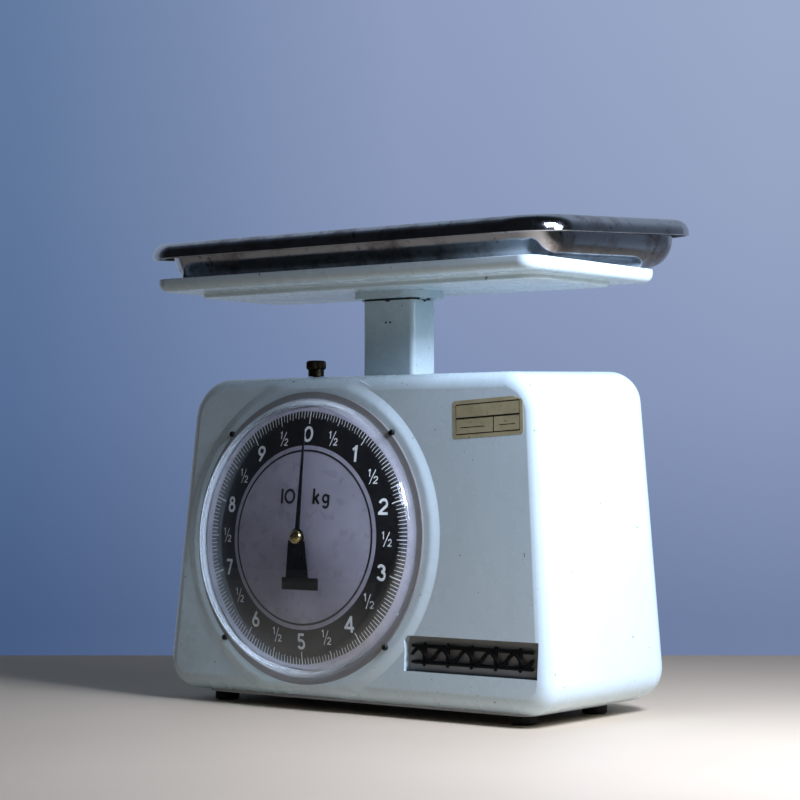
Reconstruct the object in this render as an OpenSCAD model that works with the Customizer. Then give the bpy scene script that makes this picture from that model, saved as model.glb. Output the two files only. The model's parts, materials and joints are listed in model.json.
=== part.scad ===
// Kitchen scale with a round dial, a parallel-arm platform and a lift-off pan.
// Millimetres. +Z is up and the dial faces -Y. The origin lies on the ground,
// under the middle of the whole outline.

/* [Casing] */
// Width across the bottom
casing_bottom_w = 284.5; // [270:0.5:300]
// Width across the top
casing_top_w = 260; // [246:1:275]
// Height from its bottom to its top edge
casing_h = 188.7; // [186:0.1:210]
// Depth at the bottom
casing_bottom_d = 124; // [122:1:140]
// Depth at the top
casing_top_d = 121.2; // [120:0.1:135]
// Distance of the front face from the origin
face_front = 61.7; // [60:0.1:66]
// Sheet thickness
sheet_t = 1.5; // [1:0.1:2.5]
// Radius of the edge round the front face
front_edge_r = 10.5; // [8:0.5:12]
// Radius of the back edges
back_edge_r = 19; // [14:1:22]
// Radius of the two upper corners, seen from the front
top_corner_r = 26; // [20:1:30]
// Radius of the two lower corners, seen from the front
bottom_corner_r = 18; // [14:1:26]
// Rise of the top towards the back
top_rise = 1.7; // [0:0.1:3]

// Lean of the face towards the back, in degrees
face_lean = 3; // [1:0.5:4]

/* [Dial] */
// Distance of the dial centre to the left of the middle
dial_left = 30.5; // [26:0.5:36]
// Height of the dial centre above the ground
dial_height = 100.4; // [98:0.2:106]
// Gap between the dial plate and the opening in the face
window_gap = 1; // [0.5:0.1:2]
// Width of the raised collar's crest outside the lens
crest_over = 3.1; // [1.5:0.1:5]
// Height of the collar over the face
collar_h = 1.8; // [1:0.1:3]
// Width of the collar's outer slope
collar_slope = 9; // [6:0.5:12]
// Gap between the dial plate and the inside of the lens
dial_gap = 0.4; // [0.2:0.1:1]
// Spherical radius of the bulging dial plate
dial_sphere_r = 490; // [400:10:700]
// Thickness of the dial plate
dial_t = 0.8; // [0.5:0.1:1.2]
// Distance of the dial centre in front of the face
dial_proud = 7.5; // [6:0.5:9]
// Radius of the lens flange
lens_r = 85.4; // [84:0.1:86.5]
// Width of the lens flange
lens_flange_w = 4.4; // [4:0.1:5]
// Wall of the lens
lens_t = 1.6; // [1.2:0.1:2.2]
// Height of the lens over the collar
lens_h = 16; // [15:0.5:17]

/* [Platform and column] */
// Width of the column inside the casing
column_w = 31; // [26:1:34]
// Width of the column's upper part
column_head_w = 38; // [34:0.5:42]
// Length of the column's upper part
column_head_len = 61; // [58:1:66]
// Depth of the column
column_d = 22.5; // [21:0.5:28]
// Wall of the column
column_t = 1.2; // [1:0.1:2]
// Edge radius of the column
column_r = 3; // [2:0.5:4]
// Distance of the column in front of the origin
column_front = 15.2; // [14:0.1:17]
// Height of the column's top
column_top = 241.2; // [238:0.1:250]
// Height of the column's bottom
column_bottom = 50; // [48:0.5:54]
// Gap between the column and the casing
column_gap = 1; // [0.6:0.1:2]
// Width of the platform
platform_w = 281.5; // [262:0.5:286]
// Depth of the platform
platform_d = 130; // [124:1:140]
// Height of the platform's rim
platform_rim = 7.6; // [7:0.1:9]
// Corner radius of the platform
platform_r = 11; // [10:1:16]
// Radius of the platform's lower edge
platform_edge_r = 5; // [3:0.5:6]
// Distance of the pressed step from the platform's ends
step_inset = 14.5; // [12:0.5:24]
// Distance of the pressed step from the platform's front and back
ledge = 24; // [24:0.5:30]
// Depth of the pressed step
step_h = 3; // [2:0.1:3.5]
// Thickness of the collar plate under the platform
collar_plate_t = 4; // [3:0.1:5]
// Length of the collar plate
collar_plate_w = 52; // [50:1:60]
// Depth of the collar plate
collar_plate_d = 38; // [36:1:46]

/* [Pan] */
// Width of the pan over its flange
pan_w = 302.5; // [290:0.5:306]
// Depth of the pan over its flange
pan_d = 171; // [165:1:176]
// Depth of the pan's bowl
pan_bowl_h = 29; // [26:0.5:33]
// Width of the flange
flange_w = 12; // [11:0.5:13]
// Height of the turned-down lip
lip_h = 7.5; // [6:0.5:9]
// Sheet of the pan
pan_t = 0.9; // [0.7:0.1:1.5]
// Corner radius of the pan
pan_r = 28; // [27:1:36]
// Radius between the pan's wall and its bottom
pan_edge_r = 12; // [10:0.5:13]
// Draft of the pan's wall, inward at the bottom
pan_draft = 3; // [2:0.5:4]
// Distance of the pan's front contact line behind the platform's front
pan_set_back = 22.6; // [21:0.1:23]

/* [Mechanism] */
// Number of teeth on the pinion
pinion_teeth = 14; // [13:1:15]
// Module of the rack and pinion
gear_module = 0.5; // [0.45:0.01:0.55]
// Backlash of each tooth
backlash = 0.14; // [0.1:0.01:0.2]
// Distance between a column pin and its fixed pivot
arm_reach = 43.5; // [40:0.5:45]
// Height of the lower column pin
lower_pin_z = 58; // [56:0.5:62]
// Height of the upper column pin
upper_pin_z = 154; // [148:0.5:158]
// Radius of the pivot pins
pin_r = 2; // [1.5:0.1:2.5]
// Radius of the spindle
spindle_r = 1.5; // [1.2:0.1:2]
// Radial running gap of spindle and pins
run_gap = 0.05; // [0.02:0.01:0.1]
// Gap of a sliding pin in its slot
slot_gap = 0.4; // [0.3:0.05:0.6]
// Thickness of the frame plates
plate_t = 2; // [1.5:0.1:2.5]
// Height of the frame plates
frame_top = 170; // [166:1:174]
// Distance of the zero knob to the left of the middle
knob_left = 48; // [46:0.5:50]
// Distance of the zero knob in front of the origin
knob_front = 34.7; // [33:0.1:37]
// Radius of the knob's head
knob_r = 6; // [5:0.25:8]
// Wire radius of the main spring
spring_wire_r = 0.8; // [0.6:0.1:1]
// Mean radius of the main spring
spring_r = 5.2; // [4.5:0.1:5.5]
// Number of turns of the main spring
spring_turns = 18; // [10:1:24]

/* [Feet and fittings] */
// Height of a foot under the base plate
foot_h = 5.4; // [4:0.1:8]
// Radius of a foot
foot_r = 7.3; // [6.5:0.1:9]
// Thickness of the base plate
base_t = 1.5; // [1:0.1:2]
// Distance of the feet inside the casing's lower corners
foot_in = 32.25; // [30:0.25:38]
// Distance of the front feet in front of the origin
foot_front = 44.7; // [40:0.1:45]
// Distance of the back feet behind the origin
foot_back = 26.7; // [20:0.1:30]
// Distance of the badge recess inside the casing's lower right corner
badge_in = 9.25; // [6:0.25:20]
// Length of the badge recess
badge_w = 90.5; // [60:0.5:91]
// Height of the badge recess
badge_h = 20; // [14:0.5:24]
// Height of the badge recess's lower edge above the ground
badge_z = 27; // [24:0.5:32]
// Depth of the badge recess
badge_deep = 4.5; // [3:0.5:6]
// Width of the price label
label_w = 47.5; // [30:0.5:60]
// Height of the price label
label_h = 21.3; // [12:0.1:30]
// Distance of the price label's centre inside the casing's upper right corner
label_in = 34.8; // [30:0.1:40]
// Centre of the price label above the ground
label_z = 169.4; // [160:0.1:172]
// Turn of the price label, in degrees
label_turn = 3.3; // [0:0.1:5]

/* [Hidden] */

// Smoothness of round solids, and of the parts of a hull
$fn = 64;
hull_fn = 40;
eps = 0.01;

// Colours
mint = [0.74, 0.84, 0.83];
steel = [0.62, 0.63, 0.65];
dark = [0.08, 0.08, 0.09];
brassy = [0.62, 0.5, 0.26];

// Levels and planes of the casing
base_z = foot_h;
casing_z = base_z + base_t;
casing_top = casing_z + casing_h;
face_y = -face_front;
inner_face_y = face_y + sheet_t;
dial_x = -dial_left;
dial_z = dial_height;
dial_y = face_y - dial_proud;
crest_y = face_y - collar_h;
lens_rim_r = lens_r - lens_flange_w;
dial_r = lens_rim_r - lens_t - dial_gap;
window_r = dial_r + window_gap;
collar_r = lens_r + crest_over;
notch_r = 3;
notch_up = 1;
collar_foot_r = collar_r + collar_slope;
foot_x = casing_bottom_w / 2 - foot_in;
badge_left = casing_bottom_w / 2 - badge_in - badge_w;
label_x = casing_top_w / 2 - label_in;
column_y = -column_front;
column_len = column_top - column_bottom;

// Travel of the platform for one turn of the pointer
pinion_r = pinion_teeth * gear_module / 2;
travel = 2 * PI * pinion_r / cos(face_lean);
tooth_pitch = PI * gear_module;
tooth_add = 0.85 * gear_module;
tooth_ded = 1.1 * gear_module;
tooth_slope = tan(20);

// Platform levels
collar_top = column_top + collar_plate_t;
platform_floor = collar_top + step_h;
platform_top = platform_floor + platform_rim;
platform_t = 1.2;

// Frame
front_plate_in = 17;
front_plate_y = face_y + front_plate_in;
plate_left = -78;
plate_right = 40;
rear_plate_y = column_y + arm_reach + 7;
rear_left = -60;
base_flange = 12;
flange_screw_in = 12;
flange_screw_deep = 7;
plate_foot_z = base_z + base_t;
pivot_y = column_y + arm_reach;
half_travel = travel / 2;
lower_pivot_z = lower_pin_z - half_travel;
upper_pivot_z = upper_pin_z - half_travel;
ear_inner = 22;
ear_r = 6;
arm_inner = 17.5;
arm_t = 2;
arm_half_h = 4;
pivot_pin_half = ear_inner + plate_t + 2.2;
column_pin_half = arm_inner + arm_t + 2.6;
arm_tilt = atan(half_travel / arm_reach);
arm_len = arm_reach / cos(arm_tilt);
clip_t = 0.8;
clip_r = pin_r + 1.8;
clip_gap = 0.3;

opening_side = 9;
opening_r = 6;
opening_front = front_plate_y - 2;
opening_back = rear_plate_y + plate_t + 2;

// Rack and its place in mesh with the pinion at rest
rack_pitch_x = dial_x + pinion_r;
rack_back_x = rack_pitch_x + 4;
rack_front = 17.2;
rack_d = 5;
rack_over = 3.2;
pinion_d = 7.5;
rack_y = -rack_front;
foot_plate_t = 2.5;
foot_plate_z = column_bottom - foot_plate_t;
screw_r = 1.5;
rack_screw_r = 1.2;
screw_head_r = 2.8;
screw_head_h = 1.6;

// Spindle, pointer and nut
bearing_r = 3.5;
bearing_flange_r = 5;
bearing_flange_t = 1;
flange_gap = 0.4;
bracket_wall_y = -4.7;
bracket_rise = 11;
bracket_z = dial_z + bracket_rise;
bracket_left_over = 8.5;
bracket_left = dial_x - bracket_left_over;
bracket_right_over = 1.5;
bracket_right = dial_x + bracket_right_over;
pointer_t = 0.6;
pointer_y = dial_y - 3;
pointer_len = 62;
pointer_hub_r = 5.2;
pointer_root = 1.7;
pointer_tip = 0.5;
tail_len = 24;
tail_w = 17;
tail_root_w = 12.4;
tail_start = 2;
pointer_turn = 2.5;
nut_r = 4.25;
nut_back_y = pointer_y - pointer_t;
nut_h = 3.6;
spindle_back_y = bracket_wall_y + plate_t + 2;

// Zero adjustment
knob_x = -knob_left;
knob_y = -knob_front;
knob_gap = 0.3;
knob_seat_z = casing_top + knob_gap;
knob_neck_r = 4.8;
knob_neck_h = 3.9;
knob_head_h = 5.6;
knob_shank_r = 2;
knob_shank_end = 162.6;
bush_r = 4;
hanger_z = 159;
hanger_h = 9;
hanger_floor = 1.7;
hanger_w = 11;
hanger_gap = 0.4;
spring_gap = 0.3;
spring_top = hanger_z - spring_gap - spring_wire_r;
spring_bottom = column_bottom + spring_gap + spring_wire_r;

// Lens and dial fixings
lens_flange_t = 1.2;
lens_screw_r = 1.7;
lens_screw_over = 0.7;
lens_screw_ring = lens_r + lens_screw_over;
lens_thread_r = 1.1;
lens_thread = 4;
post_ring = 45;
post_r = 2.6;
posts = 3;
dial_hole_r = 3;

// Plan outline with round corners
module round_rect(w, d, r) {
    square([w - 2 * r, d], center = true);
    square([w, d - 2 * r], center = true);
    for (sx = [-1, 1], sy = [-1, 1])
        translate([sx * (w / 2 - r), sy * (d / 2 - r)]) circle(r);
}

// Screw or rivet with a low head, its head on top of z = 0
module screw(r, len, head_r, head_h) {
    translate([0, 0, -len]) cylinder(r = r, h = len + eps);
    cylinder(r = head_r, h = head_h);
}

// Turns what is drawn upwards to point out of the face
module facing(x, y, z) translate([x, y, z]) rotate([90, 0, 0]) children();

// Tilts what is drawn on the upright face, to lean with it
module lean() translate([0, face_y, dial_z]) rotate([-face_lean, 0, 0])
    translate([0, -face_y, -dial_z]) children();

// Casing outline, drawn in by inset on every side; its face is cut flat, and
// the leaning lower corners are raised until the bottom is level
front_cut = 0.06;
front_rise = (dial_z - casing_z) * (1 - 1 / cos(face_lean))
    - front_edge_r * (1 - 1 / cos(face_lean))
    + (front_edge_r - front_cut) * tan(face_lean);

module front_corner(x, z, corner_r, inset)
    lean() facing(x, face_y - front_cut + front_edge_r, z)
        rotate_extrude($fn = hull_fn)
            translate([corner_r - front_edge_r, 0])
                intersection() {
                    circle(front_edge_r - inset, $fn = hull_fn);
                    translate([0, -front_edge_r])
                        square([front_edge_r, 2 * front_edge_r]);
                }

module back_corner(x, y, z, inset)
    translate([x, y, z]) sphere(back_edge_r - inset, $fn = hull_fn);

module casing_form(inset) {
    bottom_x = casing_bottom_w / 2;
    top_x = casing_top_w / 2;
    intersection() {
        hull() for (side = [-1, 1]) {
            front_corner(side * (bottom_x - bottom_corner_r),
                casing_z + bottom_corner_r + front_rise, bottom_corner_r, inset);
            front_corner(side * (top_x - top_corner_r),
                casing_top - top_corner_r, top_corner_r, inset);
            back_corner(side * (bottom_x - back_edge_r),
                face_y + casing_bottom_d - back_edge_r,
                casing_z + back_edge_r, inset);
            back_corner(side * (top_x - back_edge_r),
                face_y + casing_top_d - back_edge_r,
                casing_top + top_rise - back_edge_r, inset);
        }
        lean() translate([-casing_bottom_w, face_y + inset, -casing_h])
            cube([2 * casing_bottom_w, 2 * casing_bottom_d, 3 * casing_h]);
    }
}

// Raised ring round the window; it follows the casing's edge at the top
collar_trim = 0.6;
collar_steps = 8;
collar_dip = 0.3;

module collar() intersection() {
    lean() facing(dial_x, face_y, dial_z)
        rotate_extrude($fn = 128)
            polygon(concat([[window_r - 5, -12], [window_r - 5, collar_h]],
                [for (i = [0:collar_steps]) let (t = i / collar_steps)
                    [collar_r + collar_slope * t,
                        (collar_h + collar_dip) * (1 + cos(180 * t)) / 2
                        - collar_dip]],
                [[collar_foot_r, -12]]));
    translate((collar_h + 1.5 * collar_trim)
        * [0, -cos(face_lean), sin(face_lean)]) casing_form(collar_trim);
}

module badge_well(grow)
    translate([badge_left - grow, face_y - (grow > 0 ? 0 : 1), badge_z - grow])
        cube([badge_w + 2 * grow, badge_deep + (grow > 0 ? grow : 1),
            badge_h + 2 * grow]);

module casing() color(mint) difference() {
    union() {
        difference() {
            union() {
                casing_form(0);
                collar();
            }
            casing_form(sheet_t);
        }
        intersection() {
            lean() badge_well(sheet_t);
            casing_form(0);
        }
    }
    lean() {
        badge_well(0);
        facing(dial_x, inner_face_y + 10, dial_z)
            cylinder(r = window_r, h = 20, $fn = 128);
        for (a = [45:90:315]) facing(dial_x, inner_face_y + 1, dial_z)
            rotate([0, 0, a]) translate([lens_screw_ring, 0, 0])
                cylinder(r = lens_thread_r, h = 3 * lens_thread);
    }
    translate([0, column_y, casing_top - 10]) linear_extrude(20)
        round_rect(column_head_w + 2 * column_gap, column_d + 2 * column_gap,
            column_r + column_gap);
    translate([knob_x, knob_y, casing_top - 10]) cylinder(r = bush_r, h = 20);
    translate([(plate_left + plate_right) / 2, (opening_front + opening_back) / 2,
            casing_z - 1])
        linear_extrude(sheet_t + 2)
            round_rect(plate_right - plate_left + 2 * opening_side,
                opening_back - opening_front, opening_r);
    for (p = feet) translate([p[0], p[1], casing_z - 1])
        cylinder(r = foot_screw_r + foot_screw_gap, h = sheet_t + 2);
}

// Feet, base plate and their fastenings
feet = [[-foot_x, -foot_front], [foot_x, -foot_front],
    [-foot_x, foot_back], [foot_x, foot_back]];
frame_feet = [for (x = [plate_left, plate_right])
        [x + (x < 0 ? 1 : -1) * flange_screw_in, front_plate_y + flange_screw_deep],
    for (x = [rear_left, plate_right])
        [x + (x < 0 ? 1 : -1) * flange_screw_in, rear_plate_y - flange_screw_deep]];

// Foot screws, their nuts and the edge of the base plate round them
foot_screw_r = 1.9;
foot_screw_gap = 0.2;
foot_screw_over = 4.5;
foot_screw_head_r = 3.8;
foot_screw_head_h = 1.6;
foot_screw_seat = 1.5;
foot_well_gap = 0.4;
foot_edge = 0.8;
nut_flats_r = 4;
nut_t = 3;
nut_gap = 0.08;
base_edge = 10;

module base_plate() color(steel) difference() {
    translate([0, (foot_back - foot_front) / 2, base_z]) linear_extrude(base_t)
        round_rect(2 * (foot_x + base_edge), foot_front + foot_back + 2 * base_edge,
            base_edge);
    for (p = feet) translate([p[0], p[1], base_z - 1])
        cylinder(r = foot_screw_r + foot_screw_gap, h = base_t + 2);
    for (p = frame_feet) translate([p[0], p[1], base_z - 1])
        cylinder(r = screw_r + 0.1, h = base_t + 2);
}

module foot(i) color(dark) translate([feet[i][0], feet[i][1], 0]) difference() {
    union() {
        cylinder(r1 = foot_r - foot_edge, r2 = foot_r, h = foot_edge);
        translate([0, 0, foot_edge]) cylinder(r = foot_r, h = foot_h - foot_edge);
    }
    translate([0, 0, -1]) cylinder(r = foot_screw_head_r + foot_well_gap,
        h = foot_h - foot_screw_seat + 1);
    cylinder(r = foot_screw_r + foot_screw_gap, h = foot_h + 1);
}

module foot_screws() color(steel) for (p = feet)
    translate([p[0], p[1], foot_h - foot_screw_seat]) mirror([0, 0, 1])
        screw(foot_screw_r, foot_screw_seat + base_t + sheet_t + foot_screw_over,
            foot_screw_head_r, foot_screw_head_h);

module foot_nuts() color(steel) for (p = feet)
    translate([p[0], p[1], casing_z + sheet_t + nut_gap]) difference() {
        cylinder(r = nut_flats_r, h = nut_t, $fn = 6);
        translate([0, 0, -1]) cylinder(r = foot_screw_r + run_gap, h = nut_t + 2);
    }

module frame_screws() color(steel) for (p = frame_feet)
    translate([p[0], p[1], base_z]) mirror([0, 0, 1])
        screw(screw_r, base_t + plate_t + 2, screw_head_r, 1.2);

// Lens: flange, curved rim and shallow dome, drawn in profile
lens_rim_h = 6.5;
lens_dome_r = lens_rim_r - 5;
lens_dome_base = lens_h - 6;

function lens_side(inset) = [
    [lens_rim_r - inset, 0],
    [lens_rim_r - 0.6 - inset, lens_rim_h * 0.5],
    [lens_rim_r - 1.8 - inset, lens_rim_h - inset * 0.3],
    [lens_rim_r - 3.4 - inset, lens_rim_h + 2.2 - inset * 0.7],
    [lens_dome_r - inset * 0.5, lens_dome_base - inset]];
function lens_dome(inset) = [for (i = [1:8]) let (
    r = (lens_dome_r - inset * 0.5) * (1 - i / 8),
    k = r / (lens_dome_r - inset * 0.5))
    [r, lens_h - inset - (lens_h - lens_dome_base) * k * k]];

module lens() color([0.85, 0.9, 0.92, 0.35]) lean() difference() {
    facing(dial_x, crest_y, dial_z) union() {
        rotate_extrude($fn = 128) difference() {
            union() {
                polygon(concat([[0, 0]], lens_side(0), lens_dome(0)));
                square([lens_r, lens_flange_t]);
            }
            polygon(concat([[0, -1], [lens_rim_r - lens_t, -1]],
                lens_side(lens_t), lens_dome(lens_t)));
        }
    }
    for (a = [45:90:315]) facing(dial_x, crest_y + 1, dial_z)
        rotate([0, 0, a]) translate([lens_screw_ring, 0, 0])
            cylinder(r = lens_screw_r + 0.1, h = lens_flange_t + 2);
}

module lens_screws() color(dark) lean() for (a = [45:90:315])
    facing(dial_x, crest_y, dial_z) rotate([0, 0, a])
        translate([lens_screw_ring, 0, lens_flange_t])
            union() {
                translate([0, 0, -lens_flange_t - lens_thread])
                    cylinder(r = lens_thread_r, h = lens_thread + eps);
                translate([0, 0, -lens_flange_t]) cylinder(r = lens_screw_r,
                    h = lens_flange_t + 0.9);
            }

// Dial plate: a round sheet that bulges forward
function dial_sag(r) = dial_sphere_r - sqrt(dial_sphere_r * dial_sphere_r - r * r);
dial_rings = 12;

module dial_plate() color([0.78, 0.77, 0.8]) lean()
    facing(dial_x, dial_y, dial_z) rotate_extrude($fn = 128)
        polygon(concat(
            [for (i = [0:dial_rings]) let (
                r = dial_hole_r + (dial_r - dial_hole_r) * i / dial_rings)
                [r, -dial_sag(r)]],
            [for (i = [dial_rings:-1:0]) let (
                r = dial_hole_r + (dial_r - dial_hole_r) * i / dial_rings)
                [r, -dial_sag(r) - dial_t]]));

// Posts between the front plate and the back of the dial plate
post_end = dial_y + dial_t + dial_sag(post_ring + post_r) + 0.05;

post_over = 4;

module dial_posts() color(steel) intersection() {
    lean() for (i = [0:posts - 1]) facing(dial_x, front_plate_y + post_over, dial_z)
        rotate([0, 0, 90 + 360 * i / posts]) translate([post_ring, 0, 0])
            cylinder(r = post_r, h = front_plate_y + post_over - post_end);
    translate([dial_x - dial_r, front_plate_y - 2 * dial_r, dial_z - dial_r])
        cube(2 * dial_r);
}

// Bent-wire ornament in the recess: two long bars and short uprights
wire_r = 0.9;
bars_w = badge_w - 9;
bars_gap = 9;
uprights = 5;

module badge_grille() color(dark) lean()
    translate([badge_left + badge_w / 2, face_y + badge_deep - wire_r - 1.6,
        badge_z + badge_h / 2]) {
        for (s = [-1, 1]) translate([-bars_w / 2, 0, s * bars_gap / 2])
            rotate([0, 90, 0]) cylinder(r = wire_r, h = bars_w);
        for (i = [0:uprights - 1])
            translate([(i - (uprights - 1) / 2) * bars_w / uprights, 0,
                -bars_gap / 2 - 2]) cylinder(r = wire_r, h = bars_gap + 4);
        for (s = [-1, 1]) translate([s * bars_w / uprights, 0, 0])
            rotate([-90, 0, 0]) translate([0, bars_gap / 2, 0])
                cylinder(r = wire_r, h = wire_r + 1.6);
    }

module price_label() color([0.78, 0.74, 0.62])
    lean() facing(label_x, face_y, label_z) rotate([0, 0, label_turn])
        linear_extrude(0.25) round_rect(label_w, label_h, 2);

// Frame plates stand on the base plate; each has a foot bent inwards
module front_plate() color(steel) difference() {
    union() {
        translate([plate_left, front_plate_y, plate_foot_z])
            cube([plate_right - plate_left, plate_t, frame_top - plate_foot_z]);
        translate([plate_left, front_plate_y, plate_foot_z])
            cube([plate_right - plate_left, base_flange, plate_t]);
    }
    lean() facing(dial_x, front_plate_y + plate_t + 3, dial_z)
        cylinder(r = bearing_r, h = plate_t + 6);
    for (p = frame_feet) translate([p[0], p[1], plate_foot_z - 1])
        cylinder(r = screw_r + 0.1, h = plate_t + 2);
    for (x = bridge_xs) facing(x, front_plate_y + plate_t + 1, bridge_screw_z)
        cylinder(r = screw_r + 0.1, h = plate_t + 2);
    for (x = bracket_xs) facing(x, front_plate_y + plate_t + 1, bracket_z + bracket_h / 2)
        cylinder(r = screw_r + 0.1, h = plate_t + 2);
}

// Ear that carries one end of a pivot pin
module ear(side, z) translate([side * (ear_inner + plate_t / 2), 0, z])
    difference() {
        union() {
            rotate([0, 90, 0]) translate([0, pivot_y, -plate_t / 2])
                cylinder(r = ear_r, h = plate_t);
            translate([-plate_t / 2, pivot_y, -ear_r])
                cube([plate_t, rear_plate_y - pivot_y + eps, 2 * ear_r]);
        }
        rotate([0, 90, 0]) translate([0, pivot_y, -plate_t])
            cylinder(r = pin_r, h = 2 * plate_t);
    }

module rear_plate() color(steel) difference() {
    union() {
        translate([rear_left, rear_plate_y, plate_foot_z])
            cube([plate_right - rear_left, plate_t, frame_top - plate_foot_z]);
        translate([rear_left, rear_plate_y - base_flange + plate_t, plate_foot_z])
            cube([plate_right - rear_left, base_flange, plate_t]);
        for (side = [-1, 1], z = [lower_pivot_z, upper_pivot_z]) ear(side, z);
    }
    for (p = frame_feet) translate([p[0], p[1], plate_foot_z - 1])
        cylinder(r = screw_r + 0.1, h = plate_t + 2);
    for (x = bridge_xs) facing(x, rear_plate_y + plate_t + 1, bridge_screw_z)
        cylinder(r = screw_r + 0.1, h = plate_t + 2);
}

// Bridge between the plates; it carries the pull of the spring
bridge_w = 16;
bridge_left = knob_x - bridge_w / 2;
bridge_drop = 12;
bridge_screw_x = 4.5;
bridge_screw_drop = 7;
bridge_xs = [knob_x - bridge_screw_x, knob_x + bridge_screw_x];
bridge_screw_z = frame_top - bridge_screw_drop;
bracket_screw_x = 3.5;
bracket_xs = [dial_x - bracket_screw_x];
bracket_h = 14;
bracket_drop = 11;
bracket_over = 5;
bracket_screw_end = 1.5;

module top_bridge() color(steel) difference() {
    union() {
        translate([bridge_left, front_plate_y - plate_t, frame_top])
            cube([bridge_w, rear_plate_y - front_plate_y + 3 * plate_t, plate_t]);
        for (y = [front_plate_y - plate_t, rear_plate_y + plate_t])
            translate([bridge_left, y, frame_top - bridge_drop])
                cube([bridge_w, plate_t, bridge_drop + plate_t]);
        translate([knob_x, knob_y, frame_top + plate_t])
            cylinder(r = bush_r + 2, h = casing_top - sheet_t - frame_top
                - plate_t - 1);
    }
    translate([knob_x, knob_y, frame_top - 1])
        cylinder(r = knob_shank_r + run_gap, h = casing_h);
    for (x = bridge_xs, y = [front_plate_y, rear_plate_y + 2 * plate_t])
        facing(x, y + 1, bridge_screw_z)
            cylinder(r = screw_r + 0.1, h = plate_t + 2);
}

module bridge_screws() color(steel) for (x = bridge_xs) {
    facing(x, front_plate_y - plate_t, bridge_screw_z)
        screw(screw_r, 2 * plate_t, screw_head_r, screw_head_h);
    translate([x, rear_plate_y + 2 * plate_t, bridge_screw_z]) rotate([-90, 0, 0])
        screw(screw_r, 2 * plate_t, screw_head_r, screw_head_h);
}

// Bracket that holds the back bearing of the spindle
module bearing_bracket() color(steel) {
    back = bracket_wall_y + plate_t;
    front = front_plate_y + plate_t;
    difference() {
        union() {
            translate([bracket_left, front, bracket_z])
                cube([bracket_right - bracket_left, back - front, plate_t]);
            translate([bracket_left, front, bracket_z])
                cube([bracket_right - bracket_left, plate_t, bracket_h]);
            translate([bracket_left, bracket_wall_y, dial_z - bracket_drop])
                cube([bracket_right - bracket_left + bracket_over, plate_t,
                    bracket_z - dial_z + bracket_drop + plate_t]);
        }
        lean() facing(dial_x, back + 3, dial_z)
            cylinder(r = bearing_r, h = plate_t + 6);
        for (x = bracket_xs) facing(x, front + plate_t + 1, bracket_z + bracket_h / 2)
            cylinder(r = screw_r + 0.1, h = plate_t + 2);
    }
}

module bracket_screws() color(steel) for (x = bracket_xs)
    facing(x, front_plate_y, bracket_z + bracket_h / 2)
        screw(screw_r, 2 * plate_t + bracket_screw_end, screw_head_r, screw_head_h);

// Bearing bush: y is the front of its plate, and its flange stands a little off
module bearing(y, side) color(brassy) lean() facing(dial_x, y, dial_z) difference() {
    union() {
        translate([0, 0, -plate_t - (side < 0 ? flange_gap : 0)])
            cylinder(r = bearing_r, h = plate_t + flange_gap);
        translate([0, 0, side < 0 ? -plate_t - flange_gap - bearing_flange_t
            : flange_gap]) cylinder(r = bearing_flange_r, h = bearing_flange_t);
    }
    translate([0, 0, -3 * plate_t]) cylinder(r = spindle_r + run_gap, h = 6 * plate_t);
}

module front_bearing() bearing(front_plate_y, 1);
module rear_bearing() bearing(bracket_wall_y, -1);

// Pins and clips
module cross_pin(y, z, half, head_side) color(steel) translate([-half, y, z])
    rotate([0, 90, 0]) cylinder(r = pin_r, h = 2 * half);

module clip(x, y, z) translate([x, y, z]) rotate([0, 90, 0]) difference() {
    cylinder(r = clip_r, h = clip_t);
    translate([0, 0, -1]) cylinder(r = pin_r, h = clip_t + 2);
}

module clips(y, z, seat) color(dark) {
    clip(seat + clip_gap, y, z);
    clip(-seat - clip_gap - clip_t, y, z);
}

module pivot_clips() {
    clips(pivot_y, lower_pivot_z, ear_inner + plate_t);
    clips(pivot_y, upper_pivot_z, ear_inner + plate_t);
}

module column_clips() {
    clips(column_y, lower_pin_z, arm_inner + arm_t);
    clips(column_y, upper_pin_z, arm_inner + arm_t);
}

// Parallel arm: two bars and a cross web; its front end is slotted
module arm(pivot_z) color(steel)
    translate([0, pivot_y, pivot_z]) rotate([-arm_tilt, 0, 0]) {
        for (side = [-1, 1])
            translate([side * (arm_inner + arm_t / 2) - arm_t / 2, 0, 0])
                rotate([90, 0, 90]) linear_extrude(arm_t) difference() {
                    union() {
                        circle(arm_half_h + 1);
                        translate([-arm_len, -arm_half_h])
                            square([arm_len, 2 * arm_half_h]);
                        translate([-arm_len, 0]) circle(arm_half_h);
                    }
                    circle(pin_r + run_gap);
                    for (x = [-arm_len - slot_gap * 0.5, -arm_reach + slot_gap * 0.5])
                        translate([x, 0]) circle(pin_r + slot_gap);
                    translate([-arm_len - slot_gap * 0.5, -pin_r - slot_gap])
                        square([arm_len - arm_reach + slot_gap,
                            2 * (pin_r + slot_gap)]);
                }
        translate([-arm_inner - eps, -16, -arm_half_h])
            cube([2 * (arm_inner + eps), arm_t, 2 * arm_half_h]);
    }

// Column: rectangular tube with half-round notches at its upper edge
module column_tube(w, inner_w, z, len) translate([0, column_y, z])
    linear_extrude(len) difference() {
        round_rect(w, column_d, column_r);
        round_rect(inner_w - 2 * column_t, column_d - 2 * column_t,
            column_r - column_t);
    }

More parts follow.
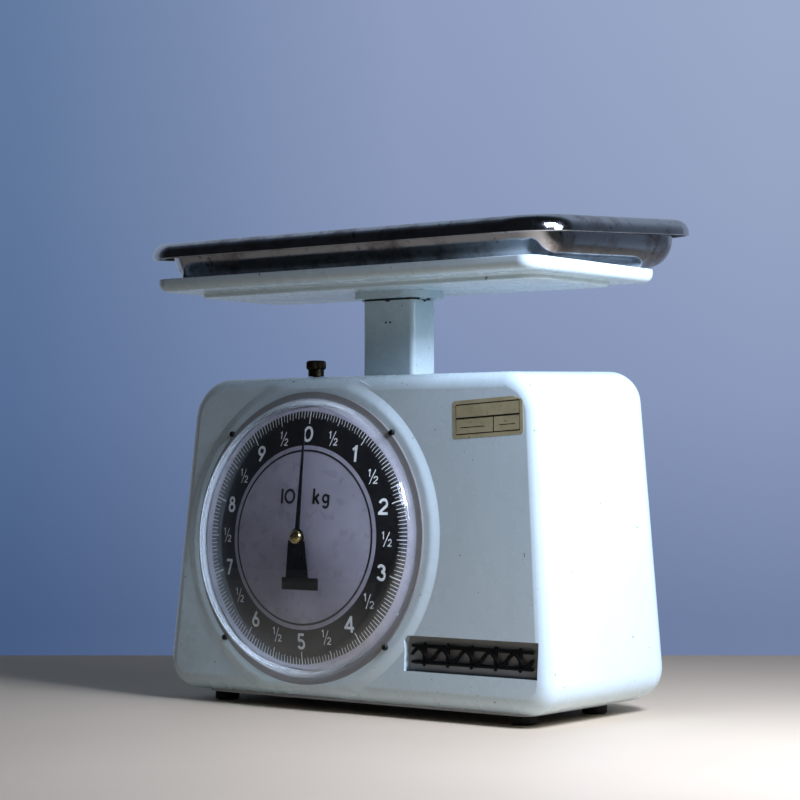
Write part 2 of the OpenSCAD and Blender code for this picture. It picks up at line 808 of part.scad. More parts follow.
// Column: the upper part is wider and fills the casing's opening
module column() color(mint) difference() {
    union() {
        column_tube(column_w, column_w, column_bottom, column_len - column_head_len);
        column_tube(column_head_w, column_w, column_top - column_head_len, column_t);
        column_tube(column_head_w, column_head_w,
            column_top - column_head_len + column_t, column_head_len - column_t);
    }
    for (z = [lower_pin_z, upper_pin_z]) translate([-column_w, column_y, z])
        rotate([0, 90, 0]) cylinder(r = pin_r, h = 2 * column_w);
    translate([0, column_y, column_top + notch_up]) {
        rotate([90, 0, 0]) cylinder(r = notch_r, h = 2 * column_d, center = true);
        rotate([0, 90, 0]) cylinder(r = notch_r, h = 2 * column_head_w, center = true);
    }
}

module collar_plate() color(mint) difference() {
    translate([0, column_y, column_top]) linear_extrude(collar_plate_t)
        round_rect(collar_plate_w, collar_plate_d, 14);
    for (p = rivets) translate([p[0], p[1], column_top - 1])
        cylinder(r = rivet_r, h = collar_plate_t + 2);
}

// Rivets: two beside each end of the column, clear of its wall
rivet_r = 2;
rivet_gap = 0.6;
rivet_y = 5;
rivets = [for (sx = [-1, 1], sy = [-1, 1])
    [sx * (column_head_w / 2 + rivet_gap + rivet_r), column_y + sy * rivet_y]];

module platform_rivets() color(mint) for (p = rivets)
    translate([p[0], p[1], collar_top + platform_t])
        screw(rivet_r, collar_plate_t + platform_t + 1, 3.4, 0.9);

// Tray outline of the platform, drawn in by inset
module tray_form(w, d, r, edge, h, z) hull() {
    for (sx = [-1, 1], sy = [-1, 1]) {
        translate([sx * (w / 2 - r), column_y + sy * (d / 2 - r), z + edge])
            rotate_extrude($fn = hull_fn) translate([r - edge, 0])
                intersection() {
                    circle(edge, $fn = hull_fn);
                    translate([0, -edge]) square([edge, edge]);
                }
        translate([sx * (w / 2 - r), column_y + sy * (d / 2 - r), z + h - 1])
            cylinder(r = r, h = 1, $fn = hull_fn);
    }
}

module platform() color(mint) difference() {
    union() {
        tray_form(platform_w, platform_d, platform_r, platform_edge_r,
            platform_rim, platform_floor);
        translate([0, column_y, collar_top]) linear_extrude(step_h + platform_t)
            round_rect(platform_w - 2 * step_inset, platform_d - 2 * ledge,
                platform_r);
    }
    tray_form(platform_w - 2 * platform_t, platform_d - 2 * platform_t,
        platform_r - platform_t, platform_edge_r - platform_t,
        platform_rim + 2, platform_floor + platform_t);
    translate([0, column_y, collar_top + platform_t]) linear_extrude(step_h + 1)
        round_rect(platform_w - 2 * step_inset - 2 * platform_t,
            platform_d - 2 * ledge - 2 * platform_t, platform_r - platform_t);
    for (p = rivets) translate([p[0], p[1], collar_top - 1])
        cylinder(r = rivet_r, h = platform_t + 2);
}

// Foot of the column: carries the rack and the lower end of the spring
foot_over = 7;
foot_left = knob_x - foot_over;
foot_plate_front = 24;
foot_plate_d = 32;
plug_t = 3.5;
plug_gap = 0.1;
foot_plate_screw_x = 7;
foot_plate_screw_y = 6;
foot_plate_screw_len = 6;
foot_plate_screws_at = [for (sy = [-1, 1])
    [column_w / 2 - foot_plate_screw_x, column_y + sy * foot_plate_screw_y]];

module column_foot() color(steel) difference() {
    union() {
        translate([foot_left, column_y - foot_plate_front, foot_plate_z])
            cube([column_w / 2 - foot_left, foot_plate_d, foot_plate_t]);
        translate([0, column_y, column_bottom]) linear_extrude(plug_t)
            round_rect(column_w - 2 * (column_t + plug_gap),
                column_d - 2 * (column_t + plug_gap), column_r - column_t);
    }
    for (p = foot_plate_screws_at) translate([p[0], p[1], foot_plate_z - 1])
        cylinder(r = screw_r, h = 12);
    translate([rack_hole_x, rack_y, foot_plate_z - 1])
        cylinder(r = rack_screw_r, h = foot_plate_t + 2);
}

module foot_plate_screws() color(steel) for (p = foot_plate_screws_at)
    translate([p[0], p[1], foot_plate_z]) mirror([0, 0, 1])
        screw(screw_r, foot_plate_screw_len, screw_head_r, screw_head_h);

module rack_screws() color(steel)
    translate([rack_hole_x, rack_y, foot_plate_z])
        mirror([0, 0, 1]) screw(rack_screw_r, foot_plate_t + 5, screw_head_r, 1.2);

// Rack teeth point to the spindle and lie along it; one gap faces a pinion
// tooth at rest
mesh_z = dial_z - (rack_y - face_y) * tan(face_lean);
tooth_step = tooth_pitch / cos(face_lean);
rack_below = ceil(rack_over / tooth_step);
rack_above = ceil((travel + rack_over) / tooth_step);
rack_high = mesh_z + (rack_above + 0.5) * tooth_step;
rack_hole_x = (rack_pitch_x + rack_back_x) / 2 + 0.7;

module rack_tooth() {
    half = tooth_pitch / 4 - backlash / 2;
    tip = half - tooth_add * tooth_slope;
    root = half + tooth_ded * tooth_slope;
    polygon([[-tooth_add, -tip], [tooth_ded, -root], [tooth_ded + 0.4, -root],
        [tooth_ded + 0.4, root], [tooth_ded, root], [-tooth_add, tip]]);
}

module rack() color(brassy) difference() {
    union() {
        translate([rack_pitch_x + tooth_ded, rack_y - rack_d / 2, column_bottom])
            cube([rack_back_x - rack_pitch_x - tooth_ded, rack_d,
                rack_high - column_bottom]);
        intersection() {
            for (i = [-rack_below:rack_above])
                translate([rack_pitch_x, rack_y, mesh_z + (i - 0.5) * tooth_step])
                    rotate([90 - face_lean, 0, 0])
                        linear_extrude(rack_d + 2, center = true) rack_tooth();
            translate([rack_pitch_x - 2, rack_y - rack_d / 2, column_bottom])
                cube([8, rack_d, rack_high]);
        }
    }
    translate([rack_hole_x, rack_y, column_bottom - 1])
        cylinder(r = rack_screw_r, h = 6.5);
}

// Pinion tooth with its flanks drawn as an involute
base_r = pinion_r * cos(20);
function involute(r) = let (a = acos(base_r / r)) tan(a) * 180 / PI - a;
tooth_half = 90 / pinion_teeth - backlash / 2 / pinion_r * 180 / PI;
function flank_at(r) = tooth_half + involute(pinion_r) - involute(max(r, base_r));
tooth_rs = [for (i = [0:4]) base_r + (pinion_r + tooth_add - base_r) * i / 4];
pinion_root_r = pinion_r - tooth_ded;

module pinion() color(brassy)
    lean() facing(dial_x, rack_y + pinion_d / 2, dial_z) linear_extrude(pinion_d)
        difference() {
            union() {
                circle(pinion_root_r);
                for (i = [0:pinion_teeth - 1]) rotate(i * 360 / pinion_teeth)
                    polygon(concat([[0, 0]],
                        [[pinion_root_r * cos(flank_at(0)),
                            -pinion_root_r * sin(flank_at(0))]],
                        [for (r = tooth_rs) [r * cos(flank_at(r)),
                            -r * sin(flank_at(r))]],
                        [for (k = [4:-1:0]) let (r = tooth_rs[k])
                            [r * cos(flank_at(r)), r * sin(flank_at(r))]],
                        [[pinion_root_r * cos(flank_at(0)),
                            pinion_root_r * sin(flank_at(0))]]));
            }
            circle(spindle_r);
        }

module spindle() color(steel)
    lean() facing(dial_x, spindle_back_y, dial_z)
        cylinder(r = spindle_r, h = spindle_back_y - pointer_y + pointer_t + 1.5);

// Pointer: tapered needle above the hub and a broad tail below it
module pointer() color(dark)
    lean() facing(dial_x, pointer_y, dial_z) rotate([0, 0, -pointer_turn])
        linear_extrude(pointer_t) difference() {
            union() {
                circle(pointer_hub_r);
                polygon([[-pointer_root, 0], [pointer_root, 0],
                    [pointer_tip, pointer_len], [-pointer_tip, pointer_len]]);
                polygon([[-tail_root_w / 2, -tail_start], [-tail_w / 2, -tail_len],
                    [tail_w / 2, -tail_len], [tail_root_w / 2, -tail_start]]);
            }
            circle(spindle_r);
        }

module hub_nut() color(brassy) lean() facing(dial_x, nut_back_y, dial_z) difference() {
    rotate_extrude() polygon(concat([[0, 0], [nut_r, 0], [nut_r, 0.8]],
        [for (i = [1:6]) [nut_r * cos(15 * i), 0.8 + (nut_h - 0.8) * sin(15 * i)]]));
    translate([0, 0, -1]) cylinder(r = spindle_r, h = 1 + 1.5);
}

// Zero knob: knurled head, neck and threaded shank, in one piece
module zero_knob() color([0.36, 0.3, 0.2])
    translate([knob_x, knob_y, knob_seat_z]) {
        difference() {
            translate([0, 0, knob_neck_h]) cylinder(r = knob_r, h = knob_head_h);
            for (i = [0:23]) rotate(i * 15)
                translate([knob_r + 0.25, 0, knob_neck_h - 1])
                    cylinder(r = 0.6, h = knob_head_h + 2, $fn = 12);
        }
        cylinder(r = knob_neck_r, h = knob_neck_h + eps);
        translate([0, 0, knob_shank_end - knob_seat_z])
            cylinder(r = knob_shank_r, h = knob_seat_z - knob_shank_end + eps);
    }

module spring_hanger() color(brassy) {
    back = front_plate_y + plate_t + hanger_gap;
    difference() {
        translate([knob_x - hanger_w / 2, back, hanger_z])
            cube([hanger_w, 2 * (knob_y - back), hanger_h]);
        translate([knob_x, knob_y, hanger_z + hanger_floor])
            cylinder(r = knob_shank_r + run_gap, h = hanger_h);
    }
}

// Main spring: a helix that starts and ends on its axis
spring_steps = 10;
function spring_path(t) = let (
    ramp = min(1, min(t, 1 - t) * spring_turns),
    r = spring_r * ramp * ramp * (3 - 2 * ramp),
    a = 360 * spring_turns * t)
    [r * cos(a), r * sin(a), spring_bottom + (spring_top - spring_bottom) * t];
spring_rings = spring_turns * spring_steps;
spring_sides = 6;
spring_points = [for (i = [0:spring_rings]) let (
    t = i / spring_rings,
    p = spring_path(t),
    a = 360 * spring_turns * t,
    out = [cos(a), sin(a), 0])
    for (k = [0:spring_sides - 1]) let (b = 360 * k / spring_sides)
        p + spring_wire_r * (cos(b) * out + sin(b) * [0, 0, 1])];
spring_faces = concat(
    [for (i = [0:spring_rings - 1], k = [0:spring_sides - 1]) let (
        a = i * spring_sides + k,
        b = i * spring_sides + (k + 1) % spring_sides)
        each [[a, b, a + spring_sides], [b, b + spring_sides, a + spring_sides]]],
    [[for (k = [0:spring_sides - 1]) spring_sides - 1 - k]],
    [[for (k = [0:spring_sides - 1]) spring_rings * spring_sides + k]]);

module main_spring() color(steel) translate([knob_x, knob_y, 0])
    polyhedron(spring_points, spring_faces);

// Pan: bowl and flange in the pan's own frame, z = 0 at the flange's top
bowl_w = pan_w - 2 * flange_w;
bowl_d = pan_d - 2 * flange_w;
bowl_r = pan_r - flange_w;
lip_r = lip_h;
flat_w = flange_w - lip_r;

// The pan leans on the platform's back rim and, in front, on its floor
rest_gap = 0.3;
rest_z = platform_floor + platform_t + rest_gap + pan_edge_r;
rest_y = column_y - platform_d / 2 + pan_set_back;
rim_y = column_y + platform_d / 2 - platform_t;
rim_z = platform_top + rest_gap;
rest_len = norm([rim_y - rest_y, rim_z - rest_z]);
pan_tilt = asin(pan_edge_r / rest_len) - atan((rest_z - rim_z) / (rim_y - rest_y));

module bowl_form(inset, top) {
    r = bowl_r;
    hull() for (sx = [-1, 1], sy = [-1, 1]) {
        translate([sx * (bowl_w / 2 - r), sy * (bowl_d / 2 - r), -1])
            cylinder(r = r - inset, h = 1 + top, $fn = hull_fn);
        translate([sx * (bowl_w / 2 - r), sy * (bowl_d / 2 - r),
            -pan_bowl_h + pan_edge_r])
            rotate_extrude($fn = hull_fn) translate([r - pan_draft - pan_edge_r, 0])
                intersection() {
                    circle(pan_edge_r - inset, $fn = hull_fn);
                    translate([0, -pan_edge_r]) square([pan_edge_r, pan_edge_r]);
                }
    }
}

module lip_profile(base) {
    translate([base - pan_t / 2, -pan_t]) square([flat_w + pan_t / 2 + eps, pan_t]);
    translate([base + flat_w, -lip_r]) intersection() {
        difference() {
            circle(lip_r);
            circle(lip_r - pan_t);
        }
        square(lip_r);
    }
}

module flange_corner(sx, sy) {
    r = bowl_r;
    turn = sx > 0 ? (sy > 0 ? 0 : 270) : (sy > 0 ? 90 : 180);
    translate([sx * (bowl_w / 2 - r), sy * (bowl_d / 2 - r), 0])
        rotate([0, 0, turn]) rotate_extrude(angle = 90) lip_profile(r);
}

module flange_side(len, off, turn) rotate([0, 0, turn]) translate([off, len / 2, 0])
    rotate([90, 0, 0]) linear_extrude(len) lip_profile(0);

module pan_shape() {
    r = bowl_r;
    difference() {
        union() {
            difference() {
                bowl_form(0, -eps);
                bowl_form(pan_t, 1);
            }
            for (sx = [-1, 1], sy = [-1, 1]) flange_corner(sx, sy);
            flange_side(bowl_d - 2 * r, bowl_w / 2, 0);
            flange_side(bowl_d - 2 * r, bowl_w / 2, 180);
            flange_side(bowl_w - 2 * r, bowl_d / 2, 90);
            flange_side(bowl_w - 2 * r, bowl_d / 2, 270);
        }
    }
}

module pan() color([0.75, 0.76, 0.78]) translate([0, rest_y, rest_z])
    rotate([pan_tilt, 0, 0])
        translate([0, bowl_d / 2 - pan_draft - pan_edge_r, pan_bowl_h - pan_edge_r])
            pan_shape();

casing();
base_plate();
foot(0);  // foot_front_left
foot(1);  // foot_front_right
foot(2);  // foot_back_left
foot(3);  // foot_back_right
foot_screws();
foot_nuts();
lens();
lens_screws();
dial_plate();
dial_posts();
badge_grille();
price_label();
front_plate();
rear_plate();
top_bridge();
bridge_screws();
frame_screws();
bearing_bracket();
bracket_screws();
front_bearing();
rear_bearing();
cross_pin(pivot_y, upper_pivot_z, pivot_pin_half);  // upper_pivot_pin
cross_pin(pivot_y, lower_pivot_z, pivot_pin_half);  // lower_pivot_pin
pivot_clips();
main_spring();
zero_knob();
spring_hanger();
spindle();
pinion();
pointer();
hub_nut();
arm(upper_pivot_z);  // upper_arm
arm(lower_pivot_z);  // lower_arm
column();
platform();
collar_plate();
platform_rivets();
column_foot();
foot_plate_screws();
rack();
rack_screws();
cross_pin(column_y, upper_pin_z, column_pin_half);  // upper_column_pin
cross_pin(column_y, lower_pin_z, column_pin_half);  // lower_column_pin
column_clips();
pan();
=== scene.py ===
"""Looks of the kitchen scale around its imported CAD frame.

Lengths in the shape code are millimetres in the part's own frame (+Z up, the dial faces -Y, the
feet stand at z = 0); they are scaled to metres when a mesh is made. Every piece rides on the CAD
body that carries it.
"""
import json
import math

import bmesh
import bpy
from mathutils import Matrix, Vector


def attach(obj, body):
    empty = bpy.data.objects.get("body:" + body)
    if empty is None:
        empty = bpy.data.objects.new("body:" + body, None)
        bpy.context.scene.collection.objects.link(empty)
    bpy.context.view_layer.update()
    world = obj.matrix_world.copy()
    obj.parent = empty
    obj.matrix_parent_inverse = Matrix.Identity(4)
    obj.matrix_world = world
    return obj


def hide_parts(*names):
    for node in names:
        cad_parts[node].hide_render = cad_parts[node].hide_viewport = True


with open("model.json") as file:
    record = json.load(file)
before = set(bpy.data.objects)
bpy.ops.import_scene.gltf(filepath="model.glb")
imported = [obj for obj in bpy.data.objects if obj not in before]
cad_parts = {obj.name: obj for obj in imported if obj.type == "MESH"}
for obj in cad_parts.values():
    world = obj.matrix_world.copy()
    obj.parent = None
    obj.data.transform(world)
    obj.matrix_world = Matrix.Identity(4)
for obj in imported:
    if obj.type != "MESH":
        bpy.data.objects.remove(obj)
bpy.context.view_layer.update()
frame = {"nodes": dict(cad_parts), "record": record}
nodes = frame["nodes"]
scene = bpy.context.scene
MM = 0.001
BODY_OF = {n: b for b, names in frame["record"]["behaviour"]["bodies"].items() for n in names}


def linked(name, data):
    """A new object for a mesh, camera or lamp, in the scene."""
    ob = bpy.data.objects.new(name, data)
    scene.collection.objects.link(ob)
    return ob


# Camera, in metres and degrees, as worked out from the photograph

AZIMUTH, PITCH = 37.8, 1.565
CAMERA_AT = (0.8129, -1.0624, 0.1452)
FOCAL_LENGTH, SENSOR_WIDTH = 100.44, 36
cam_data = bpy.data.cameras.new("camera")
cam_data.sensor_width = SENSOR_WIDTH
cam_data.lens = FOCAL_LENGTH
camera = linked("camera", cam_data)
camera.location = CAMERA_AT
az, pitch = math.radians(AZIMUTH), math.radians(PITCH)
forward = Vector((-math.sin(az) * math.cos(pitch), math.cos(az) * math.cos(pitch), math.sin(pitch)))
camera.rotation_mode = "QUATERNION"
camera.rotation_quaternion = forward.to_track_quat("-Z", "Y")
scene.camera = camera


# Materials

def rgb(text):
    """Linear colour of an sRGB hex string."""
    parts = [int(text[i:i + 2], 16) / 255 for i in (0, 2, 4)]
    return tuple(c / 12.92 if c <= 0.04045 else ((c + 0.055) / 1.055) ** 2.4 for c in parts) + (1,)


def tint(colour, k):
    """The same colour, k times as bright."""
    return tuple(min(1, c * k) for c in colour[:3]) + (1,)


class Graph:
    """A small helper around one material's node tree."""

    def __init__(self, name):
        self.mat = bpy.data.materials.new(name)
        self.mat.use_nodes = True
        self.nt = self.mat.node_tree
        self.bsdf = self.nt.nodes["Principled BSDF"]
        self.out = self.nt.nodes["Material Output"]
        coord = self.nt.nodes.new("ShaderNodeTexCoord")
        self.place = coord.outputs["Object"]

    def node(self, kind, **values):
        """A new node, with its inputs and settings given by name."""
        n = self.nt.nodes.new(kind)
        for key, value in values.items():
            if key in n.inputs:
                n.inputs[key].default_value = value
            else:
                setattr(n, key, value)
        return n

    def link(self, a, b):
        """Joins an output to an input."""
        self.nt.links.new(a, b)

    def stretched(self, scale):
        """Places scaled by axis, for a texture that runs one way."""
        m = self.node("ShaderNodeMapping")
        m.inputs["Scale"].default_value = scale
        self.link(self.place, m.inputs["Vector"])
        return m.outputs["Vector"]

    def noise(self, scale, detail=3, rough=0.55, place=None):
        """Noise from 0 to 1."""
        n = self.node("ShaderNodeTexNoise", Scale=scale, Detail=detail, Roughness=rough)
        self.link(place or self.place, n.inputs["Vector"])
        return n.outputs["Fac"]

    def ramp(self, value, stops):
        """Colour ramp; each stop is a position with a colour or a grey."""
        r = self.node("ShaderNodeValToRGB")
        el = r.color_ramp.elements
        while len(el) < len(stops):
            el.new(0.5)
        for e, (at, colour) in zip(el, stops):
            e.position = at
            e.color = colour if hasattr(colour, "__len__") else (colour, colour, colour, 1)
        self.link(value, r.inputs["Fac"])
        return r.outputs["Color"]

    def mix(self, factor, a, b):
        """Two colours mixed; each argument is a socket or a value."""
        m = self.node("ShaderNodeMix", data_type="RGBA")
        fac = [s for s in m.inputs if s.name == "Factor" and s.type == "VALUE"][0]
        ca = [s for s in m.inputs if s.name == "A" and s.type == "RGBA"][0]
        cb = [s for s in m.inputs if s.name == "B" and s.type == "RGBA"][0]
        for socket, value in ((fac, factor), (ca, a), (cb, b)):
            if isinstance(value, bpy.types.NodeSocket):
                self.link(value, socket)
            else:
                socket.default_value = value
        return [s for s in m.outputs if s.type == "RGBA"][0]

    def math(self, op, a, b):
        """A sum of two sockets or values."""
        m = self.node("ShaderNodeMath", operation=op)
        for socket, value in ((m.inputs[0], a), (m.inputs[1], b)):
            if isinstance(value, bpy.types.NodeSocket):
                self.link(value, socket)
            else:
                socket.default_value = value
        return m.outputs[0]

    def bump(self, height, strength, distance):
        """Bump of the surface, its distance in metres."""
        b = self.node("ShaderNodeBump", Strength=strength, Distance=distance)
        self.link(height, b.inputs["Height"])
        self.link(b.outputs["Normal"], self.bsdf.inputs["Normal"])

    def set(self, **values):
        """Sets the surface's inputs by name, with _ for a space."""
        for key, value in values.items():
            self.bsdf.inputs[key.replace("_", " ")].default_value = value

    def colour(self, socket):
        """Links the surface's colour."""
        self.link(socket, self.bsdf.inputs["Base Color"])

    def roughness(self, socket):
        """Links the surface's roughness."""
        self.link(socket, self.bsdf.inputs["Roughness"])


def enamel(name, colour):
    """Stove enamel: glossy, a little uneven, with soft stains, fine dirt and a few chips."""
    g = Graph(name)
    base = g.ramp(g.noise(9, 4), [(0.3, tint(colour, 0.95)), (0.7, tint(colour, 1.03))])
    stain = g.ramp(g.noise(28, 6, 0.65), [(0.60, 0.0), (0.84, 1.0)])
    base = g.mix(g.math("MULTIPLY", stain, 0.14), base, rgb("A9A48C"))
    rub = g.ramp(g.noise(90, 5, 0.7, g.stretched((1, 1, 0.12))), [(0.58, 0.0), (0.80, 1.0)])
    base = g.mix(g.math("MULTIPLY", rub, 0.10), base, rgb("8E9A9C"))
    speck = g.ramp(g.noise(330, 1, 0.3), [(0.785, 0.0), (0.80, 1.0)])
    base = g.mix(g.math("MULTIPLY", speck, 0.7), base, rgb("4B473E"))
    g.colour(base)
    g.roughness(g.ramp(g.noise(40, 5, 0.7), [(0.3, 0.20), (0.75, 0.36)]))
    g.set(Specular_IOR_Level=0.5, Coat_Weight=0.25, Coat_Roughness=0.12)
    g.bump(g.noise(130, 2, 0.4), 0.10, 0.0006)
    return g.mat


def metal(name, colour, rough, stretch, grain, bump, dark):
    """Bare or plated metal with a fine grain that can run one way."""
    g = Graph(name)
    place = g.stretched(stretch)
    fine = g.noise(grain, 3, 0.6, place)
    g.colour(g.mix(g.ramp(g.noise(35, 5, 0.6), [(0.45, 0.0), (0.8, 1.0)]), colour, tint(colour, dark)))
    g.roughness(g.ramp(fine, [(0.3, rough[0]), (0.7, rough[1])]))
    g.set(Metallic=1.0)
    g.bump(fine, bump, 0.0003)
    return g.mat


def chrome(name):
    """Old chrome: mirror bright, with brown stains, dull spots and fine wiping marks."""
    g = Graph(name)
    wipe = g.noise(160, 3, 0.6, g.stretched((1, 6, 1)))
    stain = g.ramp(g.noise(34, 7, 0.72), [(0.48, 0.0), (0.64, 1.0)])
    spots = g.ramp(g.noise(210, 2, 0.5), [(0.66, 0.0), (0.72, 1.0)])
    base = g.mix(g.math("MULTIPLY", stain, 0.70), rgb("BDBFC4"), rgb("5E4C43"))
    base = g.mix(g.math("MULTIPLY", spots, 0.55), base, rgb("3A322C"))
    g.colour(base)
    dull = g.math("MULTIPLY", stain, 0.14)
    g.roughness(g.math("ADD", g.ramp(wipe, [(0.3, 0.06), (0.7, 0.13)]), dull))
    g.set(Metallic=1.0)
    g.bump(wipe, 0.03, 0.0003)
    return g.mat


def paint(name, colour, rough, wear, spots, bump, worn, coat=0.0, gloss=1.5, shine=0.5):
    """Flat or satin paint, print and rubber; wear is the colour that shows through."""
    g = Graph(name)
    base = g.ramp(g.noise(spots, 4), [(0.3, tint(colour, 0.85)), (0.7, tint(colour, 1.12))])
    mask = g.ramp(g.noise(spots * 5, 6, 0.7), [(0.60, 0.0), (0.78, 1.0)])
    g.colour(g.mix(g.math("MULTIPLY", mask, worn), base, wear))
    g.roughness(g.ramp(g.noise(spots * 3, 4), [(0.3, rough - 0.08), (0.7, rough + 0.1)]))
    g.set(Specular_IOR_Level=shine, Coat_Weight=coat, Coat_Roughness=0.05, Coat_IOR=gloss)
    g.bump(g.noise(spots * 12, 3), bump, 0.0004)
    return g.mat


def paper(name, colour):
    """Yellowed label paper: fibres, darker clouds and brown foxing."""
    g = Graph(name)
    fibre = g.noise(700, 5, 0.8, g.stretched((1, 1, 2.5)))
    base = g.ramp(fibre, [(0.3, tint(colour, 0.88)), (0.7, tint(colour, 1.08))])
    cloud = g.ramp(g.noise(55, 5, 0.65), [(0.42, 0.0), (0.75, 1.0)])
    base = g.mix(g.math("MULTIPLY", cloud, 0.55), base, rgb("7D7458"))
    fox = g.ramp(g.noise(260, 2, 0.4), [(0.66, 0.0), (0.74, 1.0)])
    base = g.mix(g.math("MULTIPLY", fox, 0.5), base, rgb("5A4A30"))
    g.colour(base)
    g.roughness(g.ramp(fibre, [(0.3, 0.5), (0.7, 0.72)]))
    g.bump(fibre, 0.15, 0.0004)
    return g.mat


def clear(name, milk=0.0, haze_colour="D9DEE2", even=False):
    """Clear moulded plastic, which lets the lamps reach the dial behind it.

    Milk is the amount of haze, which is even or else lies at the left; there its white is a painted
    highlight of the lamp on the rim.
    """
    g = Graph(name)
    g.set(Transmission_Weight=1.0, IOR=1.49, Base_Color=(0.97, 0.985, 0.98, 1))
    scratch = g.noise(60, 8, 0.8, g.stretched((1, 1, 6)))
    g.roughness(g.ramp(scratch, [(0.5, 0.015), (0.8, 0.07)]))
    solid = g.bsdf.outputs[0]
    if milk:
        haze = g.node("ShaderNodeBsdfDiffuse")
        haze.inputs["Color"].default_value = rgb(haze_colour)
        cloud = g.node("ShaderNodeMixShader")
        axes = g.node("ShaderNodeSeparateXYZ")
        g.link(g.place, axes.inputs[0])
        # The white haze grows towards -X and paints the key lamp's highlight on the rim's left inner wall:
        # painted highlight
        left = g.math("ADD", g.math("MULTIPLY", axes.outputs["X"], -9.0), 0.22)
        uneven = g.ramp(g.noise(25, 4), [(0.3, milk * 0.8), (0.7, milk * 1.15)])
        haze_as_painted_highlight = g.math("MULTIPLY", g.ramp(left, [(0.0, 0.10), (1.0, 1.0)]), uneven)
        g.link(uneven if even else haze_as_painted_highlight, cloud.inputs["Fac"])
        g.link(solid, cloud.inputs[1])
        g.link(haze.outputs[0], cloud.inputs[2])
        solid = cloud.outputs[0]
    path = g.node("ShaderNodeLightPath")
    through = g.node("ShaderNodeBsdfTransparent")
    through.inputs["Color"].default_value = (0.93, 0.95, 0.95, 1)
    mix = g.node("ShaderNodeMixShader")
    g.link(path.outputs["Is Shadow Ray"], mix.inputs["Fac"])
    g.link(solid, mix.inputs[1])
    g.link(through.outputs[0], mix.inputs[2])
    g.link(mix.outputs[0], g.out.inputs["Surface"])
    return g.mat


MINT = rgb("CADBE0")
MATS = {
    "enamel": enamel("enamel_mint", MINT),
    "chrome": chrome("chrome_plate"),
    # Colour, roughness from and to, stretch of the grain, its scale and depth, darkening
    "steel": metal("zinc_steel", rgb("9A9C9F"), (0.28, 0.5), (1, 1, 5), 500, 0.08, 0.7),
    "spring": metal("spring_wire", rgb("6E7076"), (0.2, 0.4), (1, 1, 1), 800, 0.05, 0.7),
    "brass": metal("brass", rgb("A8946A"), (0.16, 0.34), (1, 1, 1), 700, 0.05, 0.6),
    "old_brass": metal("knob_brass", rgb("3A3328"), (0.30, 0.5), (1, 1, 1), 900, 0.1, 0.5),
    # Colour, roughness, worn colour, scale of the spots, depth, amount worn
    "rubber": paint("rubber", rgb("101112"), 0.8, rgb("2A2A2A"), 200, 0.25, 0.3),
    "dial": paint("dial_paint", rgb("A39DA8"), 0.30, rgb("8A8274"), 40, 0.0, 0.20, coat=1.0, gloss=2.3),
    "print": paint("print_black", rgb("070809"), 0.35, rgb("242322"), 90, 0.0, 0.30, coat=0.8, gloss=1.9),
    "white": paint("print_white", rgb("D6D6D2"), 0.5, rgb("77756E"), 160, 0.04, 0.35),
    # Darker grey for the sheet on the recess floor: painted shade of the recess
    "recess": paint("recess_painted_shade", rgb("888682"), 0.55, rgb("5A5348"), 60, 0.04, 0.4),
    "wire": paint("wire_black", rgb("040505"), 0.6, rgb("16130F"), 120, 0.06, 0.25, shine=0.12),
    "black": paint("black_lacquer", rgb("0B0C0E"), 0.32, rgb("3E372E"), 120, 0.06, 0.25),
    "paper": paper("label_paper", rgb("ABA27F")),
    "clear": clear("clear_plastic"),
    # Hazy rim: its white haze, heavier at the left, is a painted highlight of the key lamp
    "edge": clear("clear_edge_painted_highlight", 0.62),
    "flange": clear("clear_flange", 0.72, "8C8885", True),
}


# Mesh helpers

def add(name, verts, faces, place=None):
    """A mesh object from points in millimetres, turned into place and scaled to metres."""
    m = place or Matrix.Identity(4)
    mesh = bpy.data.meshes.new(name)
    mesh.from_pydata([tuple((m @ Vector(v)) * MM) for v in verts], [], faces)
    mesh.validate()
    return linked(name, mesh)


def from_bmesh(name, bm, place):
    """A mesh object from a bmesh in millimetres, turned into place and scaled to metres."""
    bm.transform(Matrix.Scale(MM, 4) @ place)
    mesh = bpy.data.meshes.new(name)
    bm.to_mesh(mesh)
    bm.free()
    return linked(name, mesh)


def smooth(ob, angle, weighted=True):
    """Smooth shading with sharp edges above an angle, and outward faces."""
    bm = bmesh.new()
    bm.from_mesh(ob.data)
    bmesh.ops.recalc_face_normals(bm, faces=bm.faces)
    limit = math.radians(angle)
    for e in bm.edges:
        e.smooth = len(e.link_faces) != 2 or e.calc_face_angle(0) < limit
    for f in bm.faces:
        f.smooth = True
    bm.to_mesh(ob.data)
    bm.free()
    if weighted:
        w = ob.modifiers.new("normals", "WEIGHTED_NORMAL")
        w.keep_sharp = True
    return ob


BEVEL_STEPS, BEVEL_ANGLE = 2, 38


def bevel(ob, width):
    """Rounds the edges that are sharper than the bevel angle."""
    b = ob.modifiers.new("edges", "BEVEL")
    b.width = width * MM
    b.segments = BEVEL_STEPS
    b.limit_method = "ANGLE"
    b.angle_limit = math.radians(BEVEL_ANGLE)
    b.use_clamp_overlap = True
    w = ob.modifiers.new("normals", "WEIGHTED_NORMAL")
    w.keep_sharp = True


def finished(ob, material, body, replaced=()):
    """Gives a new piece its material and the body that it rides on."""
    ob.data.materials.clear()
    ob.data.materials.append(MATS[material])
    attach(ob, body)
    if replaced:
        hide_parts(*([replaced] if isinstance(replaced, str) else replaced))
    return ob


WELD, FLAT_ANGLE = 2e-6, 0.4


def from_node(node, name, material, width=0.0, angle=30):
    """A welded, smooth-shaded piece over a CAD node of the same shape, with broken edges."""
    mesh = nodes[node].data.copy()
    mesh.name = name
    ob = linked(name, mesh)
    bm = bmesh.new()
    bm.from_mesh(mesh)
    bmesh.ops.remove_doubles(bm, verts=bm.verts, dist=WELD)
    bmesh.ops.dissolve_limit(bm, angle_limit=math.radians(FLAT_ANGLE), verts=bm.verts, edges=bm.edges)
    bm.to_mesh(mesh)
    bm.free()
    smooth(ob, angle, weighted=not width)
    if width:
        bevel(ob, width)
    return finished(ob, material, BODY_OF[node], node)


